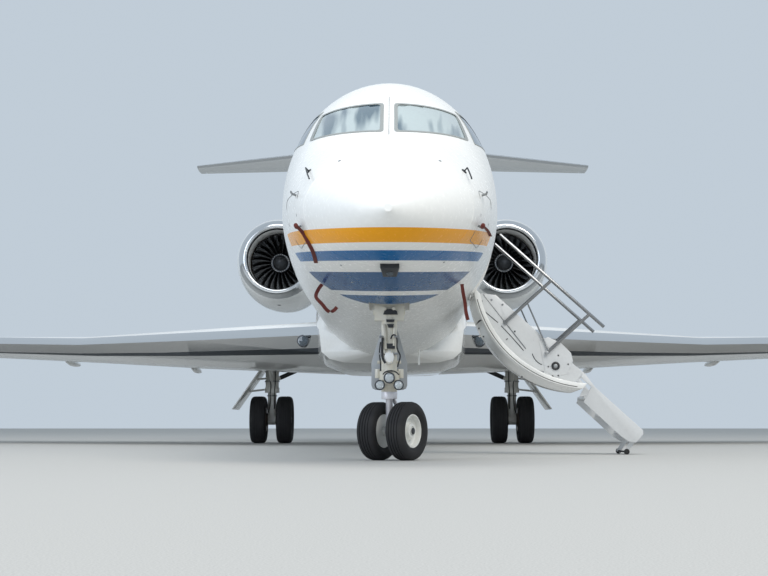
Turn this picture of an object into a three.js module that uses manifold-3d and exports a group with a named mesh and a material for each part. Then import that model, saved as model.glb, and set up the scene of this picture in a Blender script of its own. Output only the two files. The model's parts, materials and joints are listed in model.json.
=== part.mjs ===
// Twin-engine business jet parked on its gear, with its airstair let down.
// Millimetres, +Z up, nose towards -Y, the aircraft's left side towards +X.
// The origin is on the ground, under the middle of the box around the aircraft.
import * as THREE from 'three';
import { mergeVertices } from 'three/addons/utils/BufferGeometryUtils.js';
import Module from 'manifold-3d';

const wasm = await Module();
wasm.setup();

// Driving dimensions
const LENGTH = 29400;
const HEIGHT = 7870;
const GAP = 0.3;

const WALL = 60;
const REAR_WALL = 90;
const FLOOR_TOP = 1740;
const RING_SIDES = 28;
const NOSE_GEAR_STATION = 2500;
const MAIN_GEAR_STATION = 16220;
const MAIN_GEAR_X = 2185;
const ENGINE_X = 2310;
const ENGINE_Z = 3670;
const ENGINE_LIP_STATION = 18700;
const STEER_AT_REST = -30;
// Sides of a round bar or boss of some size
const ROUND = 16;
const DEGREE = Math.PI / 180;

// A station is a distance behind the nose tip.
const yAt = (station) => station - LENGTH / 2;
const SIDES = [['left', 1], ['right', -1]];

const finish = (color, roughness, metalness) => (
  new THREE.MeshStandardMaterial({ color, roughness, metalness })
);
const WHITE = finish(0xf2f2ee, 0.25, 0.1);
const GREY = finish(0x9a9c9e, 0.5, 0.3);
const POLISHED = finish(0xc8cacc, 0.15, 0.95);
const STEEL = finish(0x8d9094, 0.35, 0.8);
const DARK = finish(0x2b2d30, 0.6, 0.3);
const GLASS = finish(0x3a4854, 0.08, 0.2);
const RUBBER = finish(0x1c1c1e, 0.85, 0.0);
const CREAM = finish(0xd8d2c0, 0.45, 0.1);
const LEATHER = finish(0xb09a7c, 0.6, 0.0);

// Solids: every shape becomes a closed body here, so that it can be cut and joined.
function solid(geometry) {
  const bare = new THREE.BufferGeometry();
  bare.setAttribute('position', geometry.getAttribute('position').clone());
  if (geometry.index) bare.setIndex(geometry.index.clone());
  const merged = mergeVertices(bare, 1e-3);
  const vertProperties = new Float32Array(merged.getAttribute('position').array);
  const triVerts = new Uint32Array(merged.index.array);
  const kept = [];
  for (let i = 0; i < triVerts.length; i += 3) {
    const [a, b, c] = triVerts.subarray(i, i + 3);
    if (a !== b && b !== c && c !== a) kept.push(a, b, c);
  }
  const mesh = (indices) => new wasm.Mesh({ numProp: 3, vertProperties, triVerts: new Uint32Array(indices) });
  const body = new wasm.Manifold(mesh(kept));
  if (body.volume() > 0) return body;
  const turned = [];
  for (let i = 0; i < kept.length; i += 3) turned.push(kept[i], kept[i + 2], kept[i + 1]);
  return new wasm.Manifold(mesh(turned));
}

const join = (first, ...rest) => rest.reduce((sum, item) => sum.add(item), first);
const cut = (first, ...rest) => rest.reduce((sum, item) => sum.subtract(item), first);
const common = (first, second) => first.intersect(second);
const move = (body, x, y, z) => body.translate([x, y, z]);
const mirrored = (body, side) => (side > 0 ? body : body.mirror([1, 0, 0]));

function geometryOf(body) {
  const mesh = body.getMesh();
  const geometry = new THREE.BufferGeometry();
  geometry.setAttribute('position', new THREE.BufferAttribute(mesh.vertProperties.slice(), 3));
  geometry.setIndex(new THREE.BufferAttribute(mesh.triVerts.slice(), 1));
  geometry.computeVertexNormals();
  return geometry;
}

function box(low, high) {
  const size = high.map((value, axis) => value - low[axis]);
  const geometry = new THREE.BoxGeometry(...size);
  geometry.translate(...low.map((value, axis) => value + size[axis] / 2));
  return solid(geometry);
}

// A round bar between two points
function rod(from, to, radius, sides = 8) {
  const start = new THREE.Vector3(...from);
  const end = new THREE.Vector3(...to);
  const axis = end.clone().sub(start);
  const up = new THREE.Vector3(0, 1, 0);
  const geometry = new THREE.CylinderGeometry(radius, radius, axis.length(), sides);
  const turn = new THREE.Quaternion().setFromUnitVectors(up, axis.clone().normalize());
  geometry.applyQuaternion(turn);
  geometry.translate(...start.add(end).multiplyScalar(0.5).toArray());
  return solid(geometry);
}

// A closed profile of [radius, distance] points turned about a line along Y or X.
function turned(profile, sides, axis = 'y') {
  const closed = [...profile, profile[0]].map(([radius, along]) => new THREE.Vector2(radius, along));
  const geometry = new THREE.LatheGeometry(closed, sides);
  if (axis === 'x') geometry.rotateZ(-90 * DEGREE);
  return solid(geometry);
}

// A flat outline pushed along one axis. The outline's two columns are the other two axes in order.
function prism(outline, axis, from, to) {
  const shape = new THREE.Shape(outline.map(([u, v]) => new THREE.Vector2(u, v)));
  const geometry = new THREE.ExtrudeGeometry(shape, { depth: to - from, bevelEnabled: false });
  const along = { x: [2, 0, 1], y: [0, 2, 1], z: [0, 1, 2] }[axis];
  const position = geometry.getAttribute('position');
  for (let i = 0; i < position.count; i += 1) {
    const source = [position.getX(i), position.getY(i), position.getZ(i) + from];
    position.setXYZ(i, source[along[0]], source[along[1]], source[along[2]]);
  }
  return solid(geometry);
}

// A skin through rings of points, closed by a fan on its first and last ring.
// The facets' diagonals are turned over on the right side, so that a symmetric form has symmetric facets.
function loft(rings) {
  const count = rings[0].length;
  const middle = (ring) => ring.reduce((sum, p) => sum.add(p), new THREE.Vector3()).divideScalar(count);
  const points = [...rings.flat(), middle(rings[0]), middle(rings.at(-1))];
  const indices = [];
  for (let i = 0; i < count; i += 1) {
    const next = (i + 1) % count;
    for (let ring = 0; ring < rings.length - 1; ring += 1) {
      const a = ring * count;
      const b = a + count;
      const onRight = points[a + i].x + points[a + next].x + points[b + i].x + points[b + next].x < 0;
      if (onRight) indices.push(a + i, a + next, b + next, a + i, b + next, b + i);
      else indices.push(a + i, a + next, b + i, a + next, b + next, b + i);
    }
    const last = (rings.length - 1) * count;
    indices.push(rings.length * count, next, i);
    indices.push(rings.length * count + 1, last + i, last + next);
  }
  const geometry = new THREE.BufferGeometry().setFromPoints(points);
  geometry.setIndex(indices);
  return solid(geometry);
}

// Scene graph helpers: a piece goes into the group of the body that carries it.
const aircraft = new THREE.Group();

function piece(name, body, material, parent = aircraft) {
  const mesh = new THREE.Mesh(geometryOf(body), material);
  mesh.name = name;
  parent.add(mesh);
  return mesh;
}

function groupAt(position, rotation = [0, 0, 0], parent = aircraft) {
  const group = new THREE.Group();
  group.position.set(...position);
  group.rotation.set(...rotation);
  parent.add(group);
  return group;
}

// Fuselage sections. Columns: station, top z, bottom z, half width, z of the widest place.
const SECTIONS = [
  [0, 1890, 1830, 30, 1860],
  [100, 2030, 1730, 220, 1870],
  [250, 2140, 1640, 360, 1885],
  [500, 2270, 1572, 520, 1920],
  [900, 2450, 1508, 700, 1990],
  [1300, 2610, 1455, 800, 2060],
  [1600, 2735, 1420, 850, 2110],
  [2300, 3140, 1360, 925, 2200],
  [2850, 3400, 1337, 975, 2290],
  [3500, 3600, 1320, 1030, 2370],
  [4200, 3668, 1311, 1085, 2430],
  [5000, 3690, 1306, 1130, 2475],
  [6000, 3695, 1305, 1172, 2495],
  [7000, 3695, 1305, 1195, 2500],
  [18500, 3695, 1305, 1195, 2500],
  [20000, 3698, 1400, 1150, 2560],
  [22000, 3690, 1700, 1000, 2720],
  [24000, 3640, 2150, 760, 2900],
  [25500, 3560, 2560, 520, 3060],
  [26800, 3440, 2980, 240, 3210],
];

function sectionAt(station) {
  const index = Math.max(1, SECTIONS.findIndex((row) => row[0] >= station));
  const low = SECTIONS[index - 1];
  const high = SECTIONS[index];
  const share = (station - low[0]) / (high[0] - low[0]);
  return low.map((value, column) => value + (high[column] - value) * share);
}

function sectionRing(row, grow) {
  const [station, top, bottom, halfWidth, middle] = row;
  return Array.from({ length: RING_SIDES }, (_, i) => {
    const angle = (i / RING_SIDES) * 2 * Math.PI;
    const rise = Math.sin(angle) >= 0 ? top - middle + grow : middle - bottom + grow;
    const x = (halfWidth + grow) * Math.cos(angle);
    return new THREE.Vector3(x, yAt(station), middle + rise * Math.sin(angle));
  });
}

// The fuselage's full form between two stations, grown by a distance, or shrunk by a negative one.
function fuselageForm(from, to, grow = 0) {
  const inside = SECTIONS.filter((row) => row[0] > from && row[0] < to);
  const rows = [sectionAt(from), ...inside, sectionAt(to)];
  return loft(rows.map((row) => sectionRing(row, grow)));
}

const SPLITS = { radome: 780, nose: 4700, cabin: 17600, rear: 24000, end: 26800 };
const CABIN = { front: 1450, back: 17300, bottom: 1660 };
const ABOVE_FLOOR = box([-1500, yAt(0), CABIN.bottom], [1500, yAt(LENGTH), 4000]);

// The pressure cabin's air: the fuselage's form less the wall, cut off at the floor structure.
function cabinSpace(gap = 0) {
  const form = fuselageForm(CABIN.front + gap, CABIN.back - gap, -WALL - gap);
  return common(form, move(ABOVE_FLOOR, 0, 0, gap));
}

// Windscreen and side windows. Front panes are seen along Y, side panes along X.
// Columns of the front outline: x, z. Columns of the side outline: station, z.
const WINDSCREEN = [[45, 2745], [700, 2775], [640, 3145], [45, 3140]];
const WINDSCREEN_LIMIT = [[1500, 2600], [2170, 2700], [2900, 3190], [1500, 3190]];
const SIDE_PANE = [[2400, 2790], [3720, 2960], [3420, 3230], [3030, 3230]];

function shrunk(outline, distance) {
  const total = outline.reduce((sum, p) => [sum[0] + p[0], sum[1] + p[1]], [0, 0]);
  const centre = total.map((value) => value / outline.length);
  return outline.map(([u, v]) => {
    const reach = Math.hypot(u - centre[0], v - centre[1]);
    const scale = (reach - distance) / reach;
    return [centre[0] + (u - centre[0]) * scale, centre[1] + (v - centre[1]) * scale];
  });
}

const sideView = (outline) => outline.map(([station, z]) => [yAt(station), z]);
const windscreenTool = (inset) => common(
  prism(shrunk(WINDSCREEN, inset), 'y', yAt(1500), yAt(3000)),
  prism(sideView(shrunk(WINDSCREEN_LIMIT, inset)), 'x', 0, 1300),
);
const sidePaneTool = (inset) => prism(sideView(shrunk(SIDE_PANE, inset)), 'x', 400, 1300);

// Cabin windows: seven ovals on each side
const CABIN_WINDOWS = {
  count: 7, first: 7500, pitch: 1450, z: 2760, halfLength: 330, halfHeight: 240, sides: 12,
};

function ovalTool(station, inset) {
  const outline = Array.from({ length: CABIN_WINDOWS.sides }, (_, i) => {
    const angle = (i / CABIN_WINDOWS.sides) * 2 * Math.PI;
    const u = yAt(station) + (CABIN_WINDOWS.halfLength - inset) * Math.cos(angle);
    return [u, CABIN_WINDOWS.z + (CABIN_WINDOWS.halfHeight - inset) * Math.sin(angle)];
  });
  return prism(outline, 'x', 900, 1300);
}

const windowStations = Array.from(
  { length: CABIN_WINDOWS.count }, (_, i) => CABIN_WINDOWS.first + i * CABIN_WINDOWS.pitch,
);

// The doorway is on the aircraft's left. The hinge runs along Y at its sill.
const DOOR = {
  front: 5050, back: 5950, bottom: 1716, top: 3262, gap: 6,
  hingeX: 880, hingeZ: 1716, hingeInset: 30, edgeX: 836, edgeTop: 1790,
};
const doorTool = (inset) => box(
  [400, yAt(DOOR.front + inset), DOOR.bottom + inset], [1400, yAt(DOOR.back - inset), DOOR.top - inset],
);

// Hinge barrels along the sill, alternately on the door and on the fuselage.
// Columns: low y, high y from the middle.
const DOOR_BARRELS = [[-300, -200], [200, 300]];
const SILL_BARRELS = [[-400, -300 - GAP], [300 + GAP, 400]];
const BARREL = { radius: 14, room: 22, doorArm: [[-9, 0], [9, 32]], sillArm: [[-48, -42], [2, 0]] };

const barrels = (spans, [low, high]) => spans.map(([from, to]) => join(
  rod([0, from, 0], [0, to, 0], BARREL.radius),
  box([low[0], from, low[1]], [high[0], to, high[1]]),
));
const hingeEnd = (station) => [DOOR.hingeX, yAt(station), DOOR.hingeZ];
const hingeRoom = () => rod(
  hingeEnd(DOOR.front + DOOR.hingeInset), hingeEnd(DOOR.back - DOOR.hingeInset), BARREL.room,
);

// The nose gear's bay is a short pocket under the flight deck.
const NOSE_BAY = { halfWidth: 180, front: 2330, back: 2900, top: 1600 };
const noseBayTool = () => box(
  [-NOSE_BAY.halfWidth, yAt(NOSE_BAY.front), 1200], [NOSE_BAY.halfWidth, yAt(NOSE_BAY.back), NOSE_BAY.top],
);

function buildFuselage() {
  const space = cabinSpace();
  const radome = fuselageForm(0, SPLITS.radome - GAP);
  let nose = cut(fuselageForm(SPLITS.radome, SPLITS.nose - GAP), space, noseBayTool());
  const noseShell = nose;
  for (const [side, sign] of SIDES) {
    const front = mirrored(windscreenTool(0), sign);
    const lateral = mirrored(sidePaneTool(0), sign);
    nose = cut(nose, front, lateral);
    piece(`windscreen_${side}`, common(noseShell, mirrored(windscreenTool(GAP * 2), sign)), GLASS);
    piece(`side_window_${side}`, common(noseShell, mirrored(sidePaneTool(GAP * 2), sign)), GLASS);
  }
  let cabin = cut(fuselageForm(SPLITS.nose, SPLITS.cabin - GAP), space, doorTool(0));
  for (const [side, sign] of SIDES) {
    for (const station of windowStations) cabin = cut(cabin, mirrored(ovalTool(station, 0), sign));
    piece(`cabin_windows_${side}`, cabinWindowStrip(sign), GLASS);
  }
  const rearHollow = fuselageForm(SPLITS.cabin - 100, SPLITS.end - 300, -REAR_WALL);
  piece('radome', radome, WHITE);
  piece('fuselage_nose', nose, WHITE);
  const sill = barrels(SILL_BARRELS, BARREL.sillArm)
    .map((barrel) => move(barrel, DOOR.hingeX, yAt((DOOR.front + DOOR.back) / 2), DOOR.hingeZ));
  piece('fuselage_cabin', join(cut(cabin, hingeRoom()), ...sill), WHITE);
  piece('fuselage_rear', cut(fuselageForm(SPLITS.cabin, SPLITS.rear - GAP), rearHollow), WHITE);
  piece('tail_cone', cut(fuselageForm(SPLITS.rear, SPLITS.end), rearHollow), WHITE);
}

// One inner strip on each side carries the seven panes, which stand out into their openings.
function cabinWindowStrip(sign) {
  const strip = { from: CABIN_WINDOWS.first - 500, low: 2470, high: 3050, depth: 18 };
  const to = windowStations.at(-1) + 500;
  const band = box([500, yAt(strip.from), strip.low], [1300, yAt(to), strip.high]);
  const skin = cut(
    fuselageForm(strip.from - 10, to + 10, -WALL - GAP),
    fuselageForm(strip.from - 20, to + 20, -WALL - GAP - strip.depth),
  );
  const shell = cut(
    fuselageForm(strip.from - 10, to + 10, -WALL / 2),
    fuselageForm(strip.from - 20, to + 20, -WALL - GAP - strip.depth / 2),
  );
  let body = common(skin, band);
  for (const station of windowStations) body = join(body, common(shell, ovalTool(station, GAP * 2)));
  return mirrored(body, sign);
}

// Seats are simple blocks. Columns: x, station of the seat's back, width, facing (1 looks forward).
const SEATS = [
  [480, 3450, 480, 1],
  [-480, 3450, 480, 1],
  [620, 8300, 560, 1],
  [-620, 8300, 560, 1],
  [620, 9500, 560, -1],
  [-620, 9500, 560, -1],
  [620, 12000, 560, 1],
  [-620, 12000, 560, 1],
  [620, 14600, 560, 1],
  [-620, 14600, 560, 1],
];
const SEAT = {
  top: 380, cushion: 140, depth: 560, back: 150, backHeight: 700, backInset: 10,
  footInset: 110, footFront: 60, footBack: 80,
};

function seat([x, station, width, facing]) {
  const block = (inset, near, far, bottom, top) => {
    const ends = [near, far].map((depth) => yAt(station) - facing * depth);
    const half = width / 2 - inset;
    const low = [x - half, Math.min(...ends), FLOOR_TOP + bottom];
    return box(low, [x + half, Math.max(...ends), FLOOR_TOP + top]);
  };
  const under = SEAT.top - SEAT.cushion;
  const foot = block(SEAT.footInset, SEAT.footBack, SEAT.depth - SEAT.footFront, -1, under + 20);
  const cushion = block(0, 0, SEAT.depth, under, SEAT.top);
  const back = block(SEAT.backInset, 0, SEAT.back, SEAT.top - 20, SEAT.top + SEAT.backHeight);
  return join(foot, cushion, back);
}

function buildCabin() {
  const space = cabinSpace(GAP);
  const slab = box([-1400, yAt(2250), CABIN.bottom], [1400, yAt(CABIN.back), FLOOR_TOP]);
  let floor = common(space, slab);
  for (const row of SEATS) floor = join(floor, seat(row));
  piece('cabin_floor', floor, LEATHER);
  const panel = join(
    box([-900, yAt(1750), 2440], [900, yAt(2330), 2560]),
    box([-900, yAt(2180), 1900], [900, yAt(2249), 2500]),
  );
  piece('instrument_panel', common(panel, space), DARK);
}

// Aerofoil: shares of the chord from the trailing edge over the top to the nose and back below.
const AEROFOIL_STEPS = 6;

function aerofoil() {
  const half = (share) => 5 * (0.2969 * Math.sqrt(share) - 0.126 * share - 0.3516 * share ** 2
    + 0.2843 * share ** 3 - 0.1015 * share ** 4);
  const shares = Array.from(
    { length: AEROFOIL_STEPS + 1 }, (_, i) => (1 + Math.cos((i / AEROFOIL_STEPS) * Math.PI)) / 2,
  );
  const upper = shares.map((share) => [share, half(share)]);
  const lower = shares.slice(0, -1).reverse().map((share) => [share, -half(share)]);
  return [...upper, ...lower];
}

// A flying surface through rows.
// Columns: x, station of the nose, chord, z, thickness share, cant and incidence in degrees.
function surface(rows) {
  const section = aerofoil();
  return loft(rows.map((row) => section.map(([share, half]) => {
    const [x, station, chord, z, thickness, cant, incidence = 0] = row;
    const out = half * thickness * chord;
    const drop = share * chord * Math.tan(incidence * DEGREE);
    const [sine, cosine] = [Math.sin(cant * DEGREE), Math.cos(cant * DEGREE)];
    return new THREE.Vector3(x - out * sine, yAt(station + share * chord), z - drop + out * cosine);
  })));
}

// A control surface hangs on lugs on its hinge line, each beside a bracket of the fixed surface.
// End room is the play beside a surface's ends, whose swept hinge line shifts them sideways as it turns.
const HINGE = { halfGap: 20, radius: 14, length: 70, arm: 34, endRoom: 16, shares: [0.15, 0.85] };

function hingeParts(start, end, backward, arm = HINGE.arm) {
  const from = new THREE.Vector3(...start);
  const line = new THREE.Vector3(...end).sub(from);
  const unit = line.clone().normalize();
  const rear = new THREE.Vector3(...backward).normalize();
  const at = (share, shift) => from.clone().addScaledVector(line, share).addScaledVector(unit, shift);
  const barrel = (share, low, high, reach) => {
    const middle = at(share, (low + high) / 2);
    const tip = middle.clone().addScaledVector(rear, reach);
    return join(
      rod(at(share, low).toArray(), at(share, high).toArray(), HINGE.radius),
      rod(middle.toArray(), tip.toArray(), HINGE.radius - 3),
    );
  };
  return {
    lugs: HINGE.shares.map((share) => barrel(share, 0, HINGE.length, arm)),
    brackets: HINGE.shares.map((share) => barrel(share, -HINGE.length - GAP, -GAP, -arm)),
  };
}

// Wing. Columns: x, station of the nose, chord, z of the nose, thickness share, cant, incidence.
// The last rows are the winglet.
const WING = [
  [850, 11560, 5856, 1690, 0.13, 0, 3.3],
  [3300, 13008, 5045, 1675, 0.12, 0, 1.9],
  [5300, 14190, 4383, 1676, 0.1, 0, 0.6],
  [8000, 15786, 3489, 1800, 0.1, 0, 0.5],
  [13300, 18918, 1735, 2010, 0.1, 0, 0.5],
  [13720, 19240, 1550, 2048, 0.1, 12, 0.5],
  [14010, 19560, 1330, 2240, 0.09, 50, 0],
  [14130, 19900, 1130, 2570, 0.08, 76, 0],
  [14226, 20950, 600, 3520, 0.08, 80, 0],
];

// A row of the wing between two of its rows
function wingRow(x) {
  const outer = WING.findIndex((row) => row[0] >= x);
  const [before, after] = [WING[outer - 1], WING[outer]];
  const share = (x - before[0]) / (after[0] - before[0]);
  return before.map((value, column) => value + share * (after[column] - value));
}

// A point in the wing's middle plane, at a share of its chord
function wingPoint(x, share) {
  const [, nose, chord, z, , , incidence] = wingRow(x);
  const station = nose + share * chord;
  return { station, z: z - share * chord * Math.tan(incidence * DEGREE) };
}
const AILERON = { inner: 9900, outer: 13000, share: 0.74, slope: 1.08 };
const FLAP = { inner: 1450, outer: 9600, innerStation: 16750, outerStation: 18930 };
const TRAILING_REACH = 23000;

// Belly fairing. Columns: station, half width, bottom z, top z.
const FAIRING = [
  [10600, 250, 1345, 1500],
  [11300, 1080, 1230, 2250],
  [12200, 1180, 1130, 2620],
  [14500, 1180, 1160, 2620],
  [17200, 1180, 1240, 2620],
  [18400, 1020, 1280, 2150],
  [19400, 250, 1345, 1500],
];
const FAIRING_SIDES = 16;
// A round section has 1 here, and a square one 0.
const FAIRING_ROUNDNESS = 0.45;

function fairingForm(grow) {
  const soft = (value) => Math.sign(value) * Math.abs(value) ** FAIRING_ROUNDNESS;
  const angles = Array.from({ length: FAIRING_SIDES }, (_, i) => (i / FAIRING_SIDES) * 2 * Math.PI);
  return loft(FAIRING.map(([station, halfWidth, bottom, top]) => angles.map((angle) => {
    const x = (halfWidth + grow) * soft(Math.cos(angle));
    const z = (top + bottom) / 2 + ((top - bottom) / 2 + grow) * soft(Math.sin(angle));
    return new THREE.Vector3(x, yAt(station), z);
  })));
}

// Plan outline behind a line from one point to another. Columns: x, station.
const behind = (first, second, shift, low, high) => prism([
  [first[0], yAt(first[1] + shift)], [second[0], yAt(second[1] + shift)],
  [second[0], yAt(TRAILING_REACH)], [first[0], yAt(TRAILING_REACH)],
], 'z', low, high);

// A line through two points, made longer by the same distance at both ends.
// Columns: place along the span, station.
function longer([first, second], by) {
  const slope = (second[1] - first[1]) / (second[0] - first[0]);
  return [[first[0] - by, first[1] - by * slope], [second[0] + by, second[1] + by * slope]];
}

function buildWings() {
  const hull = fuselageForm(9000, 21000, GAP);
  piece('belly_fairing', cut(fairingForm(0), hull), WHITE);
  const centre = join(fairingForm(GAP), hull);
  const whole = cut(surface(WING), centre);
  const places = [AILERON.inner, AILERON.outer].map((x) => ({ x, ...wingPoint(x, AILERON.share) }));
  const ends = places.map(({ x, station }) => [x, station]);
  const [start, end] = places.map(({ x, station, z }) => [x, yAt(station), z]);
  const sweep = [end[1] - start[1], start[0] - end[0], 0];
  const { lugs, brackets } = hingeParts(start, end, sweep.map((value) => -value));
  const slant = HINGE.halfGap * AILERON.slope;
  const aileronRoom = behind(...longer(ends, HINGE.endRoom), -slant, 0, 4000);
  const aileron = join(common(whole, behind(ends[0], ends[1], slant, 0, 4000)), ...lugs);
  const flapFront = [[FLAP.inner, FLAP.innerStation], [FLAP.outer, FLAP.outerStation]];
  const flap = common(whole, behind(flapFront[0], flapFront[1], GAP * 2, 0, 4000));
  const flapRoom = behind(...longer(flapFront, GAP), 0, 0, 4000);
  const wing = join(cut(whole, aileronRoom, flapRoom), ...brackets);
  for (const [side, sign] of SIDES) {
    piece(`wing_${side}`, mirrored(wing, sign), WHITE);
    piece(`flap_${side}`, mirrored(flap, sign), WHITE);
    piece(`aileron_${side}`, mirrored(aileron, sign), WHITE);
  }
  return whole;
}

// Tail. Fin columns: z, station of the nose, chord, thickness share.
const FIN = [
  [3350, 20000, 6400, 0.06],
  [4050, 21850, 4800, 0.09],
  [7330, 25160, 2900, 0.1],
];
// The fin's rear top ends here, inside the tilted stabiliser.
const FIN_TRIM = { station: 26500, z: 7200 };
const RUDDER = { bottom: 4150, top: 6890, share: 0.7, halfGap: 30, endRoom: 40, arm: 50, slope: 1.25 };
const STABILISER = {
  z: 7330, tipX: 5300, tipStation: 28500, tipChord: 900, rootStation: 25480, rootChord: 2720,
  thickness: 0.1, incidence: 3,
};
// A slope is how much longer a swept gap is along Y than across it.
const ELEVATOR = { inner: 320, outer: 5120, share: 0.7, slope: 1.06 };
// Bullet fairing on top of the fin. Columns: radius, station.
const BULLET = [[0, 24700], [150, 25000], [290, 25700], [360, 26800], [270, 28000], [110, 28700], [0, 28850]];
const BULLET_Z = HEIGHT - 360;

function buildTail() {
  const finRow = (z, column) => {
    const [, low, high] = FIN;
    return low[column] + ((z - low[0]) * (high[column] - low[column])) / (high[0] - low[0]);
  };
  const finBody = loft(FIN.map(([height, station, chord, width]) => aerofoil().map(([share, half]) => (
    new THREE.Vector3(half * width * chord, yAt(station + share * chord), height)
  ))));
  const { z, tipX, tipStation, tipChord, rootStation, rootChord, thickness, incidence } = STABILISER;
  const plane = surface([
    [-tipX, tipStation, tipChord, z, thickness, 0, incidence],
    [0, rootStation, rootChord, z, thickness, 0, incidence],
    [tipX, tipStation, tipChord, z, thickness, 0, incidence],
  ]);
  const profile = BULLET.map(([radius, station]) => [radius, yAt(station)]);
  const bullet = move(turned(profile, ROUND), 0, 0, BULLET_Z);
  const tailTop = join(plane, bullet);

  const hingeAt = (height) => finRow(height, 1) + RUDDER.share * finRow(height, 2);
  const low = [RUDDER.bottom, hingeAt(RUDDER.bottom)];
  const high = [RUDDER.top, hingeAt(RUDDER.top)];
  const lean = [0, high[0] - low[0], low[1] - high[1]];
  const rudderHinge = hingeParts([0, yAt(low[1]), low[0]], [0, yAt(high[1]), high[0]], lean, RUDDER.arm);
  const rudderTool = (shift, margin) => {
    const [from, to] = longer([low, high], margin);
    return prism([
      [yAt(from[1] + shift), from[0]], [yAt(to[1] + shift), to[0]],
      [yAt(LENGTH + 500), to[0]], [yAt(LENGTH + 500), from[0]],
    ], 'x', -500, 500);
  };
  const slant = RUDDER.halfGap * RUDDER.slope;
  const hull = fuselageForm(18000, SPLITS.end, GAP);
  const above = box([-500, yAt(FIN_TRIM.station), FIN_TRIM.z], [500, yAt(LENGTH), HEIGHT]);
  const fin = cut(finBody, hull, above, move(tailTop, 0, 0, -GAP), rudderTool(-slant, RUDDER.endRoom));
  piece('fin', join(fin, ...rudderHinge.brackets), WHITE);
  piece('rudder', join(common(finBody, rudderTool(slant, 0)), ...rudderHinge.lugs), WHITE);

  const behindNose = (x) => ELEVATOR.share * (rootChord + ((tipChord - rootChord) * x) / tipX);
  const line = (x) => rootStation + ((tipStation - rootStation) * x) / tipX + behindNose(x);
  const ends = [ELEVATOR.inner, ELEVATOR.outer].map((x) => [x, line(x)]);
  const [start, end] = ends.map(([x, station]) => (
    [x, yAt(station), z - behindNose(x) * Math.tan(incidence * DEGREE)]
  ));
  const hinge = hingeParts(start, end, [start[1] - end[1], end[0] - start[0], 0]);
  const slope = HINGE.halfGap * ELEVATOR.slope;
  const elevator = join(common(plane, elevatorTool(ends, slope, 0)), ...hinge.lugs);
  let stabiliser = tailTop;
  for (const [side, sign] of SIDES) {
    stabiliser = cut(stabiliser, mirrored(elevatorTool(ends, -slope, HINGE.endRoom), sign));
    stabiliser = join(stabiliser, ...hinge.brackets.map((bracket) => mirrored(bracket, sign)));
    piece(`elevator_${side}`, mirrored(elevator, sign), WHITE);
  }
  piece('stabiliser', stabiliser, WHITE);
}

function elevatorTool(ends, shift, margin) {
  const [inner, outer] = longer(ends, margin);
  return prism([
    [inner[0], yAt(inner[1] + shift)], [outer[0], yAt(outer[1] + shift)],
    [outer[0], yAt(LENGTH + 500)], [inner[0], yAt(LENGTH + 500)],
  ], 'z', 7000, 7600);
}

// Engines. Columns: radius, distance behind the lip's front.
const LIP = [[660, 0], [715, 30], [775, 120], [800, 200], [612, 200], [608, 120], [622, 30]];
const COWL_OUTSIDE = [
  [800, 200.3], [880, 600], [925, 1200], [930, 1700], [880, 2800], [760, 3800], [600, 4700],
];
const COWL_INSIDE = [[560, 4700], [600, 3800], [640, 2600], [640, 1100], [602, 500], [612, 200.3]];
const FAN_HUB = [[0, 560], [70, 590], [140, 690], [190, 820], [190, 960], [0, 960]];
const FAN = { blades: 22, tip: 592, root: 150, chord: 130, thickness: 20, middle: 890, pitch: 35 };
const CORE = [
  [0, 960.3], [170, 960.3], [170, 1015], [639.6, 1110], [639.6, 2590], [520, 2800], [420, 3900], [240, 4650],
  [0, 5000],
];
const ENGINE_SIDES = 20;
// A cutting form of few sides grows by a little more than the gap.
const ENGINE_GAP = GAP * 1.1;
const PYLON = [
  [600, 19600, 3500, 3110, 0.075, -18],
  [1800, 19500, 3300, 3503, 0.075, -18],
];

function fanBody() {
  let fan = turned(FAN_HUB, ENGINE_SIDES);
  for (let i = 0; i < FAN.blades; i += 1) {
    const geometry = new THREE.BoxGeometry(FAN.tip - FAN.root, FAN.chord, FAN.thickness);
    geometry.rotateX(FAN.pitch * DEGREE);
    geometry.translate((FAN.tip + FAN.root) / 2, FAN.middle, 0);
    geometry.rotateY((i / FAN.blades) * 2 * Math.PI);
    fan = join(fan, solid(geometry));
  }
  return fan;
}

function buildEngines() {
  const y = yAt(ENGINE_LIP_STATION);
  const outer = [...LIP.slice(0, 4), ...COWL_OUTSIDE].map(([radius, along]) => [radius + ENGINE_GAP, along]);
  const form = turned([[0, 0], ...outer, [0, COWL_OUTSIDE.at(-1)[1]]], ENGINE_SIDES);
  const envelope = move(form, ENGINE_X, y, ENGINE_Z);
  const pylon = cut(surface(PYLON), envelope, fuselageForm(18000, SPLITS.end, GAP));
  const fan = fanBody();
  for (const [side, sign] of SIDES) {
    const nacelle = groupAt([sign * ENGINE_X, y, ENGINE_Z]);
    piece(`inlet_lip_${side}`, turned(LIP, ENGINE_SIDES), POLISHED, nacelle);
    piece(`cowl_${side}`, turned([...COWL_OUTSIDE, ...COWL_INSIDE], ENGINE_SIDES), WHITE, nacelle);
    piece(`engine_core_${side}`, turned(CORE, ENGINE_SIDES), DARK, nacelle);
    piece(`fan_${side}`, fan, DARK, nacelle);
    piece(`pylon_${side}`, mirrored(pylon, sign), WHITE);
  }
}

// Wheels. Lengths: tyre radius and width, rim radius, distance of each tyre from the strut, boss half width.
const MAIN_WHEEL = { radius: 425, width: 285, rim: 255, offset: 238, boss: 80, axle: 42, sides: 24 };
const NOSE_WHEEL = {
  radius: 256, width: 178, rim: 148, offset: 146, boss: 48, axle: 28, sides: 20, trail: 55,
};

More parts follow.
